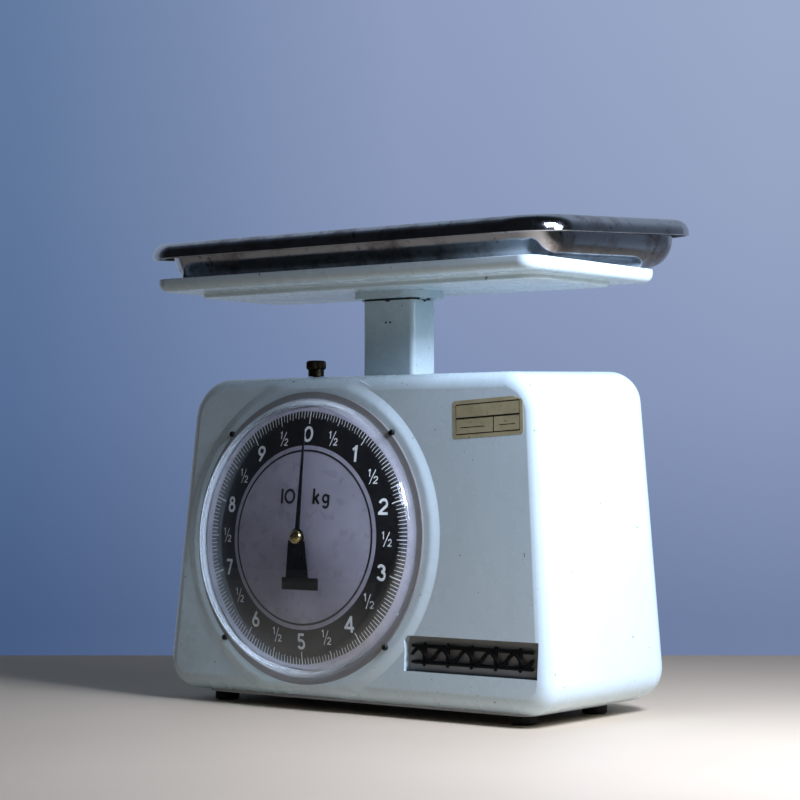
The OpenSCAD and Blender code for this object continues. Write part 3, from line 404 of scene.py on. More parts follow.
def ellipse(cx, cy, rx, ry, steps=28):
    """Points of an ellipse round (cx, cy)."""
    return [(cx + rx * math.cos(2 * math.pi * i / steps), cy + ry * math.sin(2 * math.pi * i / steps))
            for i in range(steps)]


def lathe(name, profile, place, segments, closed=False):
    """Turns a profile of (radius, height) round the local Z axis."""
    verts, rings = [], []
    for r, h in profile:
        if r < 1e-6:
            rings.append([len(verts)])
            verts.append((0, 0, h))
        else:
            rings.append(list(range(len(verts), len(verts) + segments)))
            verts += [(x, y, h) for x, y in ellipse(0, 0, r, r, segments)]
    faces = []
    pairs = list(zip(rings, rings[1:])) + ([(rings[-1], rings[0])] if closed else [])
    for a, b in pairs:
        for i in range(segments):
            j = (i + 1) % segments
            if len(a) == 1 and len(b) == 1:
                continue
            if len(a) == 1:
                faces.append((a[0], b[j], b[i]))
            elif len(b) == 1:
                faces.append((a[i], a[j], b[0]))
            else:
                faces.append((a[i], a[j], b[j], b[i]))
    return add(name, verts, faces, place)


def ring(w, d, r, z, k=10, s=6):
    """Points of a rectangle with round corners at one height, k steps a corner and s a side."""
    out = []
    for q, (sx, sy) in enumerate(((1, 1), (-1, 1), (-1, -1), (1, -1))):
        cx, cy = sx * (w / 2 - r), sy * (d / 2 - r)
        for i in range(k + 1):
            a = math.radians(90 * q + 90 * i / k)
            out.append((cx + r * math.cos(a), cy + r * math.sin(a), z))
        nx, ny = ((-1, 1), (-1, -1), (1, -1), (1, 1))[q]
        a = math.radians(90 * (q + 1))
        start = out[-1]
        end = (nx * (w / 2 - r) + r * math.cos(a), ny * (d / 2 - r) + r * math.sin(a), z)
        for i in range(1, s):
            t = i / s
            out.append(tuple(start[c] + (end[c] - start[c]) * t for c in range(3)))
    return out


def grown(w, d, r, by, z):
    """Ring of a rectangle that is grown by the same distance on every side."""
    return ring(w + 2 * by, d + 2 * by, r + by, z)


def loft(name, rings, place, caps=True):
    """Joins rings of equal length into one skin."""
    n = len(rings[0])
    verts = [p for one in rings for p in one]
    faces = []
    count = len(rings)
    for i in range(count - 1):
        a, b = i * n, (i + 1) * n
        for k in range(n):
            j = (k + 1) % n
            faces.append((a + k, a + j, b + j, b + k))
    if caps:
        faces.append(tuple(reversed(range(n))))
        faces.append(tuple(range((count - 1) * n, count * n)))
    return add(name, verts, faces, place)


def arc(cx, cy, r, a0, a1, steps):
    """Points of an arc, angles in degrees."""
    return [(cx + r * math.cos(math.radians(a0 + (a1 - a0) * i / steps)),
             cy + r * math.sin(math.radians(a0 + (a1 - a0) * i / steps))) for i in range(steps + 1)]


def shift(x, y, z):
    """Move by so many millimetres."""
    return Matrix.Translation((x, y, z))


def turn(angle, axis):
    """Turn by so many degrees round an axis."""
    return Matrix.Rotation(math.radians(angle), 4, axis)


# Shared places: the leaning face, the dial on it, the crest of its collar, the column and the platform

FACE_Y, LEAN = -61.7, 3.0
DIAL_X, DIAL_Z, DIAL_Y = -30.5, 100.4, -69.2
CREST_Y = -63.5
COLUMN_Y, COLUMN_W, COLUMN_D, COLUMN_TOP = -15.2, 38.0, 22.5, 241.2
PLATFORM_FLOOR, PLATFORM_T, PLATFORM_RIM = 248.2, 1.2, 7.6
COLLAR_TOP = 245.2
CASING_TOP = 195.6

lean = shift(0, FACE_Y, DIAL_Z) @ turn(-LEAN, "X") @ shift(0, -FACE_Y, -DIAL_Z)


def facing(x, y, z):
    """Local Z points out of the leaning face, local Y up along it."""
    return lean @ shift(x, y, z) @ turn(90, "X")


# Casing and base

from_node("casing", "casing_shell", "enamel", angle=50)
for node, piece in (("foot_front_left", "rubber_foot_a"), ("foot_front_right", "rubber_foot_b"),
                    ("foot_back_left", "rubber_foot_c"), ("foot_back_right", "rubber_foot_d")):
    from_node(node, piece, "rubber", 0.4)


# Platform and column

# Width, depth, corner and edge radius of the platform; its middle is pressed down by one step
PLAT_W, PLAT_D, PLAT_R, PLAT_E = 281.5, 130, 11, 5
STEP_W, STEP_D = PLAT_W - 29, PLAT_D - 48
# Bends of the step outside and inside, and how far in the skin closes, with its corner there
STEP_BEND, INNER_BEND, INNER_GAP = 1.2, 1.6, 0.2
UNDER_IN, UPPER_IN, MIDDLE_R = 12, 15, 4


def tray_rings():
    """From the middle of the underside, out and up over the rim, and back in to the floor's middle."""
    z0, floor, t = COLLAR_TOP, PLATFORM_FLOOR, PLATFORM_T
    step, plate = (STEP_W, STEP_D, PLAT_R), (PLAT_W, PLAT_D, PLAT_R)
    half = t / 2
    rings = [ring(STEP_W - 2 * UNDER_IN, STEP_D - 2 * UNDER_IN, MIDDLE_R, z0)]
    for dx, dz in arc(0, STEP_BEND, STEP_BEND, -90, -10, 4):
        rings.append(grown(*step, dx - STEP_BEND, z0 + dz))
    for dx, dz in arc(STEP_BEND, 0, STEP_BEND, 170, 90, 4):
        rings.append(grown(*step, dx, floor - STEP_BEND + dz))
    for dx, dz in arc(0, 0, PLAT_E, -90, 0, 9):
        rings.append(grown(*plate, dx - PLAT_E, floor + PLAT_E + dz))
    for dx, dz in arc(0, 0, half, 0, 180, 6):
        rings.append(grown(*plate, dx - half, floor + PLATFORM_RIM - half + dz))
    for dx, dz in arc(0, 0, PLAT_E - t, 0, -90, 7):
        rings.append(grown(*plate, dx - PLAT_E, floor + PLAT_E + dz))
    inner = (STEP_W - 2 * INNER_GAP, STEP_D - 2 * INNER_GAP, PLAT_R)
    for dx, dz in arc(0, -INNER_BEND, INNER_BEND, 90, 10, 4):
        rings.append(grown(*inner, dx - t, floor + t + dz))
    rings.append(grown(*step, -t - 2, z0 + t))
    rings.append(ring(STEP_W - 2 * UPPER_IN, STEP_D - 2 * UPPER_IN, MIDDLE_R, z0 + t))
    return rings


platform = loft("platform_tray", tray_rings(), shift(0, COLUMN_Y, 0))
smooth(platform, 50)
finished(platform, "enamel", "platform_group", "platform")
from_node("column", "column_tube", "enamel", 0.25)
from_node("collar_plate", "column_collar", "enamel", 0.8)


# Pan

PAN_W, PAN_D, PAN_R, PAN_T = 302.5, 171.0, 28.0, 0.9
BOWL_H, BOWL_CORNER, WALL_TOP = 29.0, 11.0, -3.0
LIP, SKIRT, BEAD = 7.8, 9.6, 0.8
# Flange width, slope of the wall and bottom radius, at the sides and at the front
SIDE_WALL = (9.4, 3.0, 19.0)
FRONT_WALL = (12.0, 22.0, 15.0)
# Bends between flange and wall, above and below, and how far in the floor's rings lie
UPPER_BEND, LOWER_BEND = 1.4, 0.9
FLOOR_RINGS = (42, 70)

# The pan leans on the platform's back rim and, in front, on its floor, as the solid's bowl does
FLANGE, PAN_EDGE, DRAFT, REST_GAP, SET_BACK = 12.0, 12.0, 3.0, 0.3, 22.6
rest_z = PLATFORM_FLOOR + PLATFORM_T + REST_GAP + PAN_EDGE
rest_y = COLUMN_Y - PLAT_D / 2 + SET_BACK
rim_y = COLUMN_Y + PLAT_D / 2 - PLATFORM_T
rim_z = PLATFORM_FLOOR + PLATFORM_RIM + REST_GAP
rest_len = math.hypot(rim_y - rest_y, rim_z - rest_z)
pan_tilt = math.degrees(math.asin(PAN_EDGE / rest_len) - math.atan((rest_z - rim_z) / (rim_y - rest_y)))
bowl_d = PAN_D - 2 * FLANGE
pan_place = (shift(0, rest_y, rest_z) @ turn(pan_tilt, "X")
             @ shift(0, bowl_d / 2 - DRAFT - PAN_EDGE, BOWL_H - PAN_EDGE))


def wall_inset(form, z, off):
    """How far the bowl's wall lies inside the rim at a height; off moves it inwards by the sheet."""
    flange, angle, radius = form
    slope = math.radians(angle)
    arc_z = radius - BOWL_H
    start = arc_z - radius * math.sin(slope)
    run = (WALL_TOP - start) * math.tan(slope)
    middle = flange + run + radius * math.cos(slope)
    e = radius - off
    if z > arc_z - e * math.sin(slope):
        return flange + off / math.cos(slope) + (WALL_TOP - z) * math.tan(slope)
    return middle - math.sqrt(max(0.0, e * e - (z - arc_z) ** 2))


def pan_ring(side, front, z):
    """Rounded outline of the pan with its own inset at the front."""
    pts = ring(PAN_W - 2 * side, PAN_D - side - front, max(BOWL_CORNER, PAN_R - side), z, 14, 10)
    return [(x, y + (front - side) / 2, z) for x, y, z in pts]


def bowl_wall(off):
    """Insets and heights of the wall, from its top down to the floor."""
    angle, radius = SIDE_WALL[1:]
    heights = [WALL_TOP + (radius - BOWL_H - WALL_TOP) * i / 4 for i in range(4)]
    heights += [radius - BOWL_H + dz for _, dz in arc(0, 0, radius - off, -angle, -90, 14)]
    return [(wall_inset(SIDE_WALL, z, off), wall_inset(FRONT_WALL, z, off), z) for z in heights]


def top_bend(off, radius, a0, a1, steps):
    """Bend from the flange down into the bowl."""
    return [(SIDE_WALL[0] + off + dx, FRONT_WALL[0] + off + dx, dz - (0 if off else PAN_T))
            for dx, dz in arc(-radius, -radius, radius, a0, a1, steps)]


def pan_rings():
    """From the underside's middle out to the lip, over it, and down the inside to the floor's middle."""
    lip = [(BEAD - dx, -SKIRT + BEAD + dz) for dx, dz in arc(0, 0, BEAD, -160, 0, 10)]
    lip += [(LIP - dx, -LIP + dz) for dx, dz in arc(0, 0, LIP, 0, 90, 14)]
    inside = [(i, i, z) for i, z in lip] + top_bend(PAN_T, UPPER_BEND, 80, 8, 6) + bowl_wall(PAN_T)
    below = list(reversed(bowl_wall(0.0))) + top_bend(0.0, LOWER_BEND, 8, 80, 4)
    below += [(LIP - dx, LIP - dx, -LIP + dz) for dx, dz in arc(0, 0, LIP - PAN_T, 90, 0, 10)]
    floor_in = [(i, i, -BOWL_H + PAN_T) for i in FLOOR_RINGS]
    floor_out = [(i, i, -BOWL_H) for i in reversed(FLOOR_RINGS)]
    return [pan_ring(*one) for one in floor_out + below + inside + floor_in]


pan = loft("chrome_pan", pan_rings(), pan_place)
smooth(pan, 60)
finished(pan, "chrome", "pan_body", "pan")


# Dial: sheet, bands, marks; radii from its middle

SPHERE, DIAL_R, DIAL_HOLE, DIAL_T = 490.0, 79, 3, 0.8
BAND_R0, BAND_R1, LINE_R0, LINE_R1, PRINT_T = 53.6, 74.3, 49.9, 51.1, 0.02
NUMERAL_R, NUMERAL_H, HALF_H = 60.2, 9.3, 4.4
NUMERAL_STROKE, HALF_STROKE, SLASH_STROKE = 1.55, 0.62, 0.5
TICK_R, TICKS = 74.2, 200
# Mark, its place across, the height of its foot, its own height and its stroke
UNIT_MARKS = (("I", -15.6, 19.4, 8.6, 1.7), ("O", -9.6, 19.4, 8.6, 1.6), ("k", 10.4, 19.4, 9.0, 1.6),
              ("g", 17.4, 19.6, 8.2, 1.5))
PANEL_W, PANEL_LOW, PANEL_HIGH = 27.4, -30.5, -23.4
# Heights of the prints above the dial, and their longest edge
BAND_LIFT, UNIT_LIFT, PANEL_LIFT, MARK_LIFT, PRINT_EDGE = 0.06, 0.07, 0.08, 0.09, 2.5


def sag(r):
    """How far the bulging dial falls back at a radius."""
    return SPHERE - math.sqrt(SPHERE * SPHERE - r * r)


dial_place = facing(DIAL_X, DIAL_Y, DIAL_Z)
radii = [DIAL_HOLE + (DIAL_R - DIAL_HOLE) * i / 32 for i in range(33)]
plate = lathe("dial_face", [(r, -sag(r)) for r in radii] + [(r, -sag(r) - DIAL_T) for r in reversed(radii)],
              dial_place, 192, closed=True)
smooth(plate, 40)
finished(plate, "dial", "body", "dial_plate")


def band(name, r0, r1, steps):
    """A printed ring just proud of the dial."""
    rs = [r0 + (r1 - r0) * i / steps for i in range(steps + 1)]
    prof = [(r, BAND_LIFT - sag(r)) for r in rs] + [(r, BAND_LIFT - PRINT_T - sag(r)) for r in reversed(rs)]
    ob = smooth(lathe(name, prof, dial_place, 256, closed=True), 40, weighted=False)
    finished(ob, "print", "body")


band("scale_band", BAND_R0, BAND_R1, 5)
band("inner_ring", LINE_R0, LINE_R1, 1)


def cut_up(bm, size):
    """Splits long edges, so that a flat shape can follow a bulging surface."""
    for _ in range(6):
        long = [e for e in bm.edges if e.calc_length() > size]
        if not long:
            break
        bmesh.ops.subdivide_edges(bm, edges=long, cuts=1, use_grid_fill=True)
        bmesh.ops.triangulate(bm, faces=[f for f in bm.faces if len(f.verts) > 4])


def decal(name, shapes, lift, material):
    """Flat printed shapes (lists of points in the dial's plane), laid on the bulging dial."""
    bm = bmesh.new()
    for k, shape in enumerate(shapes):
        bm.faces.new([bm.verts.new((x, y, 0.002 * (k % 4))) for x, y in shape])
    cut_up(bm, PRINT_EDGE)
    for v in bm.verts:
        v.co.z += lift - sag(math.hypot(v.co.x, v.co.y))
    finished(from_bmesh(name, bm, dial_place), material, "body")


def ribbon(points, width, closed=False):
    """Quads along a stroke of even width."""
    n = len(points)
    left, right = [], []
    for i in range(n):
        if closed:
            a, b = points[i - 1], points[(i + 1) % n]
        else:
            a, b = points[max(0, i - 1)], points[min(n - 1, i + 1)]
        dx, dy = b[0] - a[0], b[1] - a[1]
        length = math.hypot(dx, dy) or 1
        nx, ny = -dy / length * width / 2, dx / length * width / 2
        # The stroke keeps its width through a bend
        if not closed and 0 < i < n - 1:
            d0 = Vector((points[i][0] - a[0], points[i][1] - a[1])).normalized()
            d1 = Vector((b[0] - points[i][0], b[1] - points[i][1])).normalized()
            c = max(0.5, math.sqrt(max(0.01, (1 + d0.dot(d1)) / 2)))
            nx, ny = nx / c, ny / c
        left.append((points[i][0] + nx, points[i][1] + ny))
        right.append((points[i][0] - nx, points[i][1] - ny))
    quads = []
    for i in range(n if closed else n - 1):
        j = (i + 1) % n
        quads.append([left[i], right[i], right[j], left[j]])
    return quads


GLYPHS = {
    "0": ([], [ellipse(0, 0.5, 0.31, 0.42)]),
    "1": ([[(-0.17, 0.74), (0.06, 0.93)], [(0.06, 0.0), (0.06, 1.0)]], []),
    "2": ([arc(0, 0.68, 0.24, 172, -32, 14) + [(-0.2, 0.16), (-0.27, 0.08)],
           [(-0.33, 0.08), (0.3, 0.08)]], []),
    "3": ([arc(0, 0.725, 0.19, 165, -88, 14), arc(0, 0.30, 0.235, 88, -165, 16)], []),
    "4": ([[(0.15, 0.0), (0.15, 1.0)], [(0.15, 0.93), (-0.29, 0.27)], [(-0.36, 0.27), (0.33, 0.27)]], []),
    "5": ([[(-0.17, 0.92), (0.25, 0.92)], [(-0.14, 0.95), (-0.19, 0.53)],
           arc(-0.01, 0.32, 0.25, 138, -152, 16)], []),
    "6": ([[(0.13, 0.97), (-0.19, 0.47)]], [ellipse(0, 0.32, 0.245, 0.245)]),
    "7": ([[(-0.29, 0.92), (0.24, 0.92)], [(0.2, 0.95), (-0.12, 0.0)]], []),
    "8": ([], [ellipse(0, 0.735, 0.185, 0.185, 24), ellipse(0, 0.30, 0.235, 0.235)]),
    "9": ([[(-0.13, 0.03), (0.19, 0.53)]], [ellipse(0, 0.68, 0.245, 0.245)]),
    "k": ([[(-0.2, 0.0), (-0.2, 1.0)], [(0.2, 0.64), (-0.17, 0.28)], [(-0.06, 0.4), (0.24, 0.0)]], []),
    "g": ([[(0.24, 0.64), (0.24, 0.0)] + arc(0.0, -0.02, 0.24, -12, -152, 9)],
          [ellipse(-0.01, 0.37, 0.235, 0.25)]),
    "I": ([[(0.0, 0.0), (0.0, 1.0)]], []),
    "O": ([], [ellipse(0, 0.5, 0.40, 0.43)]),
}


def glyph(mark, x, y, height, stroke):
    """One character with its foot at (x, y), as quads."""
    lines, loops = GLYPHS[mark]
    quads = []
    for pts in lines:
        quads += ribbon([(x + px * height, y + py * height) for px, py in pts], stroke)
    for pts in loops:
        quads += ribbon([(x + px * height, y + py * height) for px, py in pts], stroke, True)
    return quads


def numerals():
    """Ten numbers round the scale, with a half between each two."""
    out = []
    for n in range(10):
        a = math.radians(90 - 36 * n)
        cx, cy = NUMERAL_R * math.cos(a), NUMERAL_R * math.sin(a)
        out += glyph(str(n), cx, cy - NUMERAL_H / 2, NUMERAL_H, NUMERAL_STROKE)
        a = math.radians(90 - 36 * n - 18)
        cx, cy = NUMERAL_R * math.cos(a), NUMERAL_R * math.sin(a)
        out += glyph("1", cx - 2.1, cy + 0.2, HALF_H, HALF_STROKE)
        out += glyph("2", cx + 2.2, cy - 3.9, HALF_H, HALF_STROKE)
        out += ribbon([(cx - 1.7, cy - 4.1), (cx + 1.7, cy + 4.3)], SLASH_STROKE)
    return out


def tick_size(i):
    """Length and width of a tick: whole, half, even and odd ones."""
    if i % 20 == 0:
        return 8.0, 0.62
    if i % 10 == 0:
        return 6.2, 0.5
    return (5.0, 0.36) if i % 2 == 0 else (4.2, 0.36)


def scale_ticks():
    """Ticks round the outer edge of the scale, as quads."""
    out = []
    for i in range(TICKS):
        a = math.radians(90 - 360 / TICKS * i)
        length, w = tick_size(i)
        c, s = math.cos(a), math.sin(a)
        px, py = -s * w / 2, c * w / 2
        r0, r1 = TICK_R - length, TICK_R
        out.append([(r0 * c - px, r0 * s - py), (r1 * c - px, r1 * s - py),
                    (r1 * c + px, r1 * s + py), (r0 * c + px, r0 * s + py)])
    return out


decal("scale_numerals", numerals(), MARK_LIFT, "white")
decal("scale_ticks", scale_ticks(), MARK_LIFT, "white")
unit = [quad for mark in UNIT_MARKS for quad in glyph(*mark)]
decal("scale_unit", unit, UNIT_LIFT, "print")
half_w = PANEL_W / 2
panel = [(-half_w, PANEL_LOW), (half_w, PANEL_LOW), (half_w, PANEL_HIGH), (-half_w, PANEL_HIGH)]
decal("blank_panel", [panel], PANEL_LIFT, "print")


# Lens: flange, rim and dome

LENS_R, RIM_R, FLANGE_T, FLANGE_CHAMFER, RIM_FILLET = 85.4, 81.0, 1.2, 0.3, 0.6
LENS_H, LENS_T, DOME_STEPS = 16.0, 1.6, 20
# Distance in from the rim and height of the side's points; the dome starts at the last
LENS_SIDE = ((0.5, 3.4), (1.2, 5.6), (2.4, 7.6), (4.0, 9.2), (6.2, 10.4))
# Beyond these radii the plastic is hazy, its white haze at the left a painted highlight, and then grey
RIM_START, FLANGE_START = 77.6, 81.7
lens_place = facing(DIAL_X, CREST_Y, DIAL_Z)


def lens_profile(t):
    """Outside (t = 0) or inside of the moulding, from the rim up to the middle."""
    rim, h = RIM_R - t, LENS_H - t
    out = [(rim, 0.0 if t else FLANGE_T)] + [(rim - inset, height) for inset, height in LENS_SIDE]
    r0, base = out[-1]
    base -= t * 0.2
    for i in range(1, DOME_STEPS + 1):
        r = r0 * (1 - i / DOME_STEPS)
        out.append((r, h - (h - base) * (r / r0) ** 2))
    return out


outside = [(LENS_R, 0.0), (LENS_R, FLANGE_T - FLANGE_CHAMFER), (LENS_R - FLANGE_CHAMFER, FLANGE_T),
           (RIM_R + RIM_FILLET, FLANGE_T)] + lens_profile(0)
lens = lathe("dial_lens", outside + list(reversed(lens_profile(LENS_T))), lens_place, 160, closed=True)
smooth(lens, 42)
finished(lens, "clear", "body", "lens")
lens.data.materials.append(MATS["edge"])
lens.data.materials.append(MATS["flange"])
to_lens = (Matrix.Scale(MM, 4) @ lens_place).inverted()
for face in lens.data.polygons:
    at = to_lens @ face.center
    away = math.hypot(at.x, at.y)
    face.material_index = int(away > RIM_START) + int(away > FLANGE_START)
from_node("lens_screws", "lens_screw_heads", "black", 0.3)


# Pointer, hub and arms; below the hub the pointer bends a little to one side

TAIL_TURN, TAIL_BEND = 5.5, 8.0
needle = from_node("pointer", "pointer_needle", "black", 0.12)
hub = Matrix.Scale(MM, 4) @ dial_place
for v in needle.data.vertices:
    at = hub.inverted() @ v.co
    down = min(1.0, max(0.0, -at.y / TAIL_BEND))
    v.co = hub @ (turn(TAIL_TURN * down, "Z") @ at)
from_node("hub_nut", "hub_dome", "brass", 0.1)
from_node("upper_arm", "upper_lever", "steel", 0.3)
from_node("lower_arm", "lower_lever", "steel", 0.3)


# Ornament of bent wire in the recess: two bars, uprights and a wave between them, before a darker sheet
# that paints the recess floor's shade

BADGE_X, BADGE_Z, BADGE_DEEP, WIRE_OUT = 87.75, 37.0, 4.5, 2.5
WIRE, BARS_W, BARS_GAP, UPRIGHTS = 1.1, 81.5, 9.0, 5
UPRIGHT_OVER, WAVE_H, WAVE_LIFT, WAVE_STEPS = 1.2, 3.3, 0.3, 80
BACK_W, BACK_H, BACK_R = 90.2, 19.7, 1.0


def tube(name, paths, radius, place, sides=10):
    """Round wires with rounded ends along open paths, none of which may run along local Z."""
    verts, faces = [], []
    for path in paths:
        pts = [Vector(p) for p in path]
        rings = []
        last = len(pts) - 1
        for i, at in enumerate(pts):
            heading = (pts[min(i + 1, last)] - pts[max(i - 1, 0)]).normalized()
            side = heading.cross(Vector((0, 0, 1))).normalized()
            up = side.cross(heading)
            steps = [(0, 1.0)]
            if i == 0:
                steps = [(-radius, 0.25), (-0.6 * radius, 0.75), (0, 1.0)]
            if i == last:
                steps = [(0, 1.0), (0.6 * radius, 0.75), (radius, 0.25)]
            for off, k in steps:
                rings.append([at + heading * off + (side * math.cos(t) + up * math.sin(t)) * radius * k
                              for t in (2 * math.pi * j / sides for j in range(sides))])
        base = len(verts)
        for one in rings:
            verts += [tuple(v) for v in one]
        for k in range(len(rings) - 1):
            for j in range(sides):
                a, c = base + k * sides, base + (k + 1) * sides
                faces.append((a + j, a + (j + 1) % sides, c + (j + 1) % sides, c + j))
        faces.append(tuple(base + j for j in reversed(range(sides))))
        faces.append(tuple(base + (len(rings) - 1) * sides + j for j in range(sides)))
    return smooth(add(name, verts, faces, place), 60, weighted=False)


def ornament_paths():
    """Bars, uprights and wave as paths in the plane of the ornament."""
    w, h = BARS_W / 2, BARS_GAP / 2
    paths = [[(-w, k * h, 0), (w, k * h, 0)] for k in (-1, 1)]
    for i in range(UPRIGHTS):
        x = (i - (UPRIGHTS - 1) / 2) * BARS_W / UPRIGHTS
        paths.append([(x, -h - UPRIGHT_OVER, 0), (x, h + UPRIGHT_OVER, 0)])
    shares = [t / WAVE_STEPS for t in range(WAVE_STEPS + 1)]
    wave = [(-w + BARS_W * t, WAVE_H * math.sin(2 * math.pi * UPRIGHTS * t), WAVE_LIFT) for t in shares]
    return paths + [wave]


ornament_place = facing(BADGE_X, FACE_Y + BADGE_DEEP - WIRE_OUT, BADGE_Z)
finished(tube("recess_wires", ornament_paths(), WIRE, ornament_place), "wire", "body", "badge_grille")
# A darker sheet on the recess floor, standing in for its shade: painted shade
back_edge = ((-0.1, 0.03), (0.0, 0.08), (0.0, 0.20), (-0.1, 0.25))
recess_shade_sheet = loft("recess_painted_shade_sheet", [grown(BACK_W, BACK_H, BACK_R, by, z) for by, z in back_edge],
               facing(BADGE_X, FACE_Y + BADGE_DEEP, BADGE_Z))
finished(smooth(recess_shade_sheet, 30, weighted=False), "recess", "body")


# Price label: paper with one torn corner, and an empty printed frame on it

LABEL_X, LABEL_Z, LABEL_TURN = 95.2, 169.4, 3.3
LABEL_W, LABEL_H, LABEL_R, LABEL_T = 47.5, 21.3, 1.6, 0.14
LABEL_EDGE, LABEL_WAVE = 3.0, 0.05
# Printed frame: margins, height above the face, strokes, the thick line and the lines to write on
MARGIN_X, MARGIN_Z, FRAME_LIFT = 2.2, 2.4, 0.21
BORDER_STROKE, THICK_STROKE, SPLIT_STROKE, WRITING_STROKE = 0.55, 0.9, 0.45, 0.35
THICK_Z, SPLIT_X, WRITING_Z, WRITING_IN, WRITING_GAP = 0.6, 4.0, -4.6, 3, (-2.0, 8.0)
label_place = facing(LABEL_X, FACE_Y, LABEL_Z) @ turn(LABEL_TURN, "Z")


def label_outline():
    """Rounded corners, and a ragged tear at the upper right."""
    w, h, r = LABEL_W / 2, LABEL_H / 2, LABEL_R
    out = arc(-w + r, h - r, r, 90, 180, 5) + arc(-w + r, -h + r, r, 180, 270, 5)
    out += arc(w - r, -h + r, r, 270, 360, 5)
    tear = [(0.0, 2.6), (-0.7, 2.3), (-1.1, 1.5), (-2.4, 1.7), (-3.1, 0.8), (-4.4, 1.1), (-5.2, 0.4),
            (-6.3, 0.0)]
    return out + [(w + x, h - y) for x, y in tear]


def label_piece():
    """The outline as a thin sheet that lies a little uneven, its faces in the same order each run."""
    bm = bmesh.new()
    bm.faces.new([bm.verts.new((x, y, LABEL_T)) for x, y in label_outline()])
    bmesh.ops.triangulate(bm, faces=bm.faces)
    cut_up(bm, LABEL_EDGE)
    for v in bm.verts:
        v.co.z += LABEL_WAVE * math.sin(0.9 * v.co.x) * math.sin(1.3 * v.co.y + 1)
    bm.verts.index_update()
    n = len(bm.verts)
    verts = [tuple(v.co) for v in bm.verts] + [(v.co.x, v.co.y, 0.0) for v in bm.verts]
    top = [tuple(v.index for v in f.verts) for f in bm.faces]
    back = [tuple(n + i for i in reversed(f)) for f in top]
    rim = [tuple(v.index for v in e.verts) for e in bm.edges if len(e.link_faces) == 1]
    bm.free()
    sides = [(a, b, n + b, n + a) for a, b in rim]
    return smooth(add("blank_label", verts, top + back + sides, label_place), 40, weighted=False)


def flat_print(name, strokes, place):
    """Thin printed strokes (four-cornered lists of points) on a flat place."""
    verts, faces = [], []
    for q in strokes:
        base = len(verts)
        verts += [(x, y, FRAME_LIFT) for x, y in q] + [(x, y, FRAME_LIFT - PRINT_T) for x, y in q]
        faces += [(base, base + 1, base + 2, base + 3), (base + 7, base + 6, base + 5, base + 4)]
        faces += [(base + k, base + 4 + k, base + 4 + (k + 1) % 4, base + (k + 1) % 4) for k in range(4)]
    return smooth(add(name, verts, faces, place), 20, weighted=False)


def label_frame():
    """Border, a thick line across, an upright below it and a line to write on at each side of that."""
    w, h = LABEL_W / 2 - MARGIN_X, LABEL_H / 2 - MARGIN_Z
    out = ribbon([(-w, -h), (w, -h), (w, h), (-w, h)], BORDER_STROKE, True)
    out += ribbon([(-w, THICK_Z), (w, THICK_Z)], THICK_STROKE)
    out += ribbon([(SPLIT_X, -h), (SPLIT_X, THICK_Z)], SPLIT_STROKE)
    for start, end in ((-w + WRITING_IN, WRITING_GAP[0]), (WRITING_GAP[1], w - WRITING_IN)):
        out += ribbon([(start, WRITING_Z), (end, WRITING_Z)], WRITING_STROKE)
    return out


finished(label_piece(), "paper", "body", "price_label")
finished(flat_print("label_lines", label_frame(), label_place), "print", "body")


# Zero knob: rounded head with fine knurls on a plain neck

KNOB_X, KNOB_Y, KNOB_R, NECK_R, SHANK_R = -48.0, -34.7, 6.0, 4.8, 2.0
KNOB_SEAT, NECK_H, HEAD_H, SHANK_END = CASING_TOP + 0.3, 3.9, 5.6, 162.6
KNURLS, KNURL_DEPTH = 48, 0.22
SHANK_CHAMFER, NECK_CHAMFER, HEAD_ROUND, DISH_IN, DISH_DEPTH = 0.4, 0.25, 1.7, 1.5, 0.25


def knob_piece():
    """Shank, neck and head turned in one, with the knurls cut into the head's edge."""
    z0, z1 = KNOB_SEAT + NECK_H, KNOB_SEAT + NECK_H + HEAD_H
    inner, dish = KNOB_R - HEAD_ROUND, z1 - DISH_DEPTH
    prof = [(0, SHANK_END), (SHANK_R - SHANK_CHAMFER, SHANK_END)]
    prof += [(SHANK_R, SHANK_END + SHANK_CHAMFER), (SHANK_R, KNOB_SEAT)]
    prof += [(NECK_R - NECK_CHAMFER, KNOB_SEAT), (NECK_R, KNOB_SEAT + NECK_CHAMFER), (NECK_R, z0)]
    prof += [(inner + dx, z0 + HEAD_ROUND + dz) for dx, dz in arc(0, 0, HEAD_ROUND, -90, 0, 6)]
    prof += [(inner + dx, z1 - HEAD_ROUND + dz) for dx, dz in arc(0, 0, HEAD_ROUND, 0, 90, 6)]
    prof += [(inner - DISH_IN, dish), (0, dish)]
    ob = lathe("knurled_knob", prof, shift(KNOB_X, KNOB_Y, 0), 144)
    axis = Vector((KNOB_X, KNOB_Y, 0)) * MM
    for v in ob.data.vertices:
        flat = Vector((v.co.x, v.co.y, 0)) - axis
        if flat.length > (KNOB_R - 1.0) * MM:
            groove = 0.5 + 0.5 * math.cos(KNURLS * math.atan2(flat.y, flat.x))
            v.co -= flat.normalized() * KNURL_DEPTH * MM * groove
    return ob


finished(smooth(knob_piece(), 35, weighted=False), "old_brass", "knob", "zero_knob")


# Marks on the column: a black band round its top that paints the shade of the gap under the collar plate,
# and two punch marks below it on the front

SPOTS_X, SPOT_DOWN, SPOT_LIFT, SPOT_RX, SPOT_RZ = (-1.2, 2.0), 14.2, 0.05, 0.75, 0.65
COLUMN_R = 3.0


def punch_marks():
    """Small ovals, just proud of the column's front."""
    verts, faces = [], []
    for middle in SPOTS_X:
        shape = ellipse(middle, -SPOT_DOWN, SPOT_RX, SPOT_RZ, 14)
        base, n = len(verts), len(shape)
        verts += [(x, y, SPOT_LIFT) for x, y in shape] + [(x, y, 0.0) for x, y in shape]
        faces.append(tuple(range(base, base + n)))
        faces += [(base + j, base + n + j, base + n + (j + 1) % n, base + (j + 1) % n) for j in range(n)]
    place = shift(0, COLUMN_Y - COLUMN_D / 2, COLUMN_TOP) @ turn(90, "X")
    return smooth(add("column_marks", verts, faces, place), 20, weighted=False)


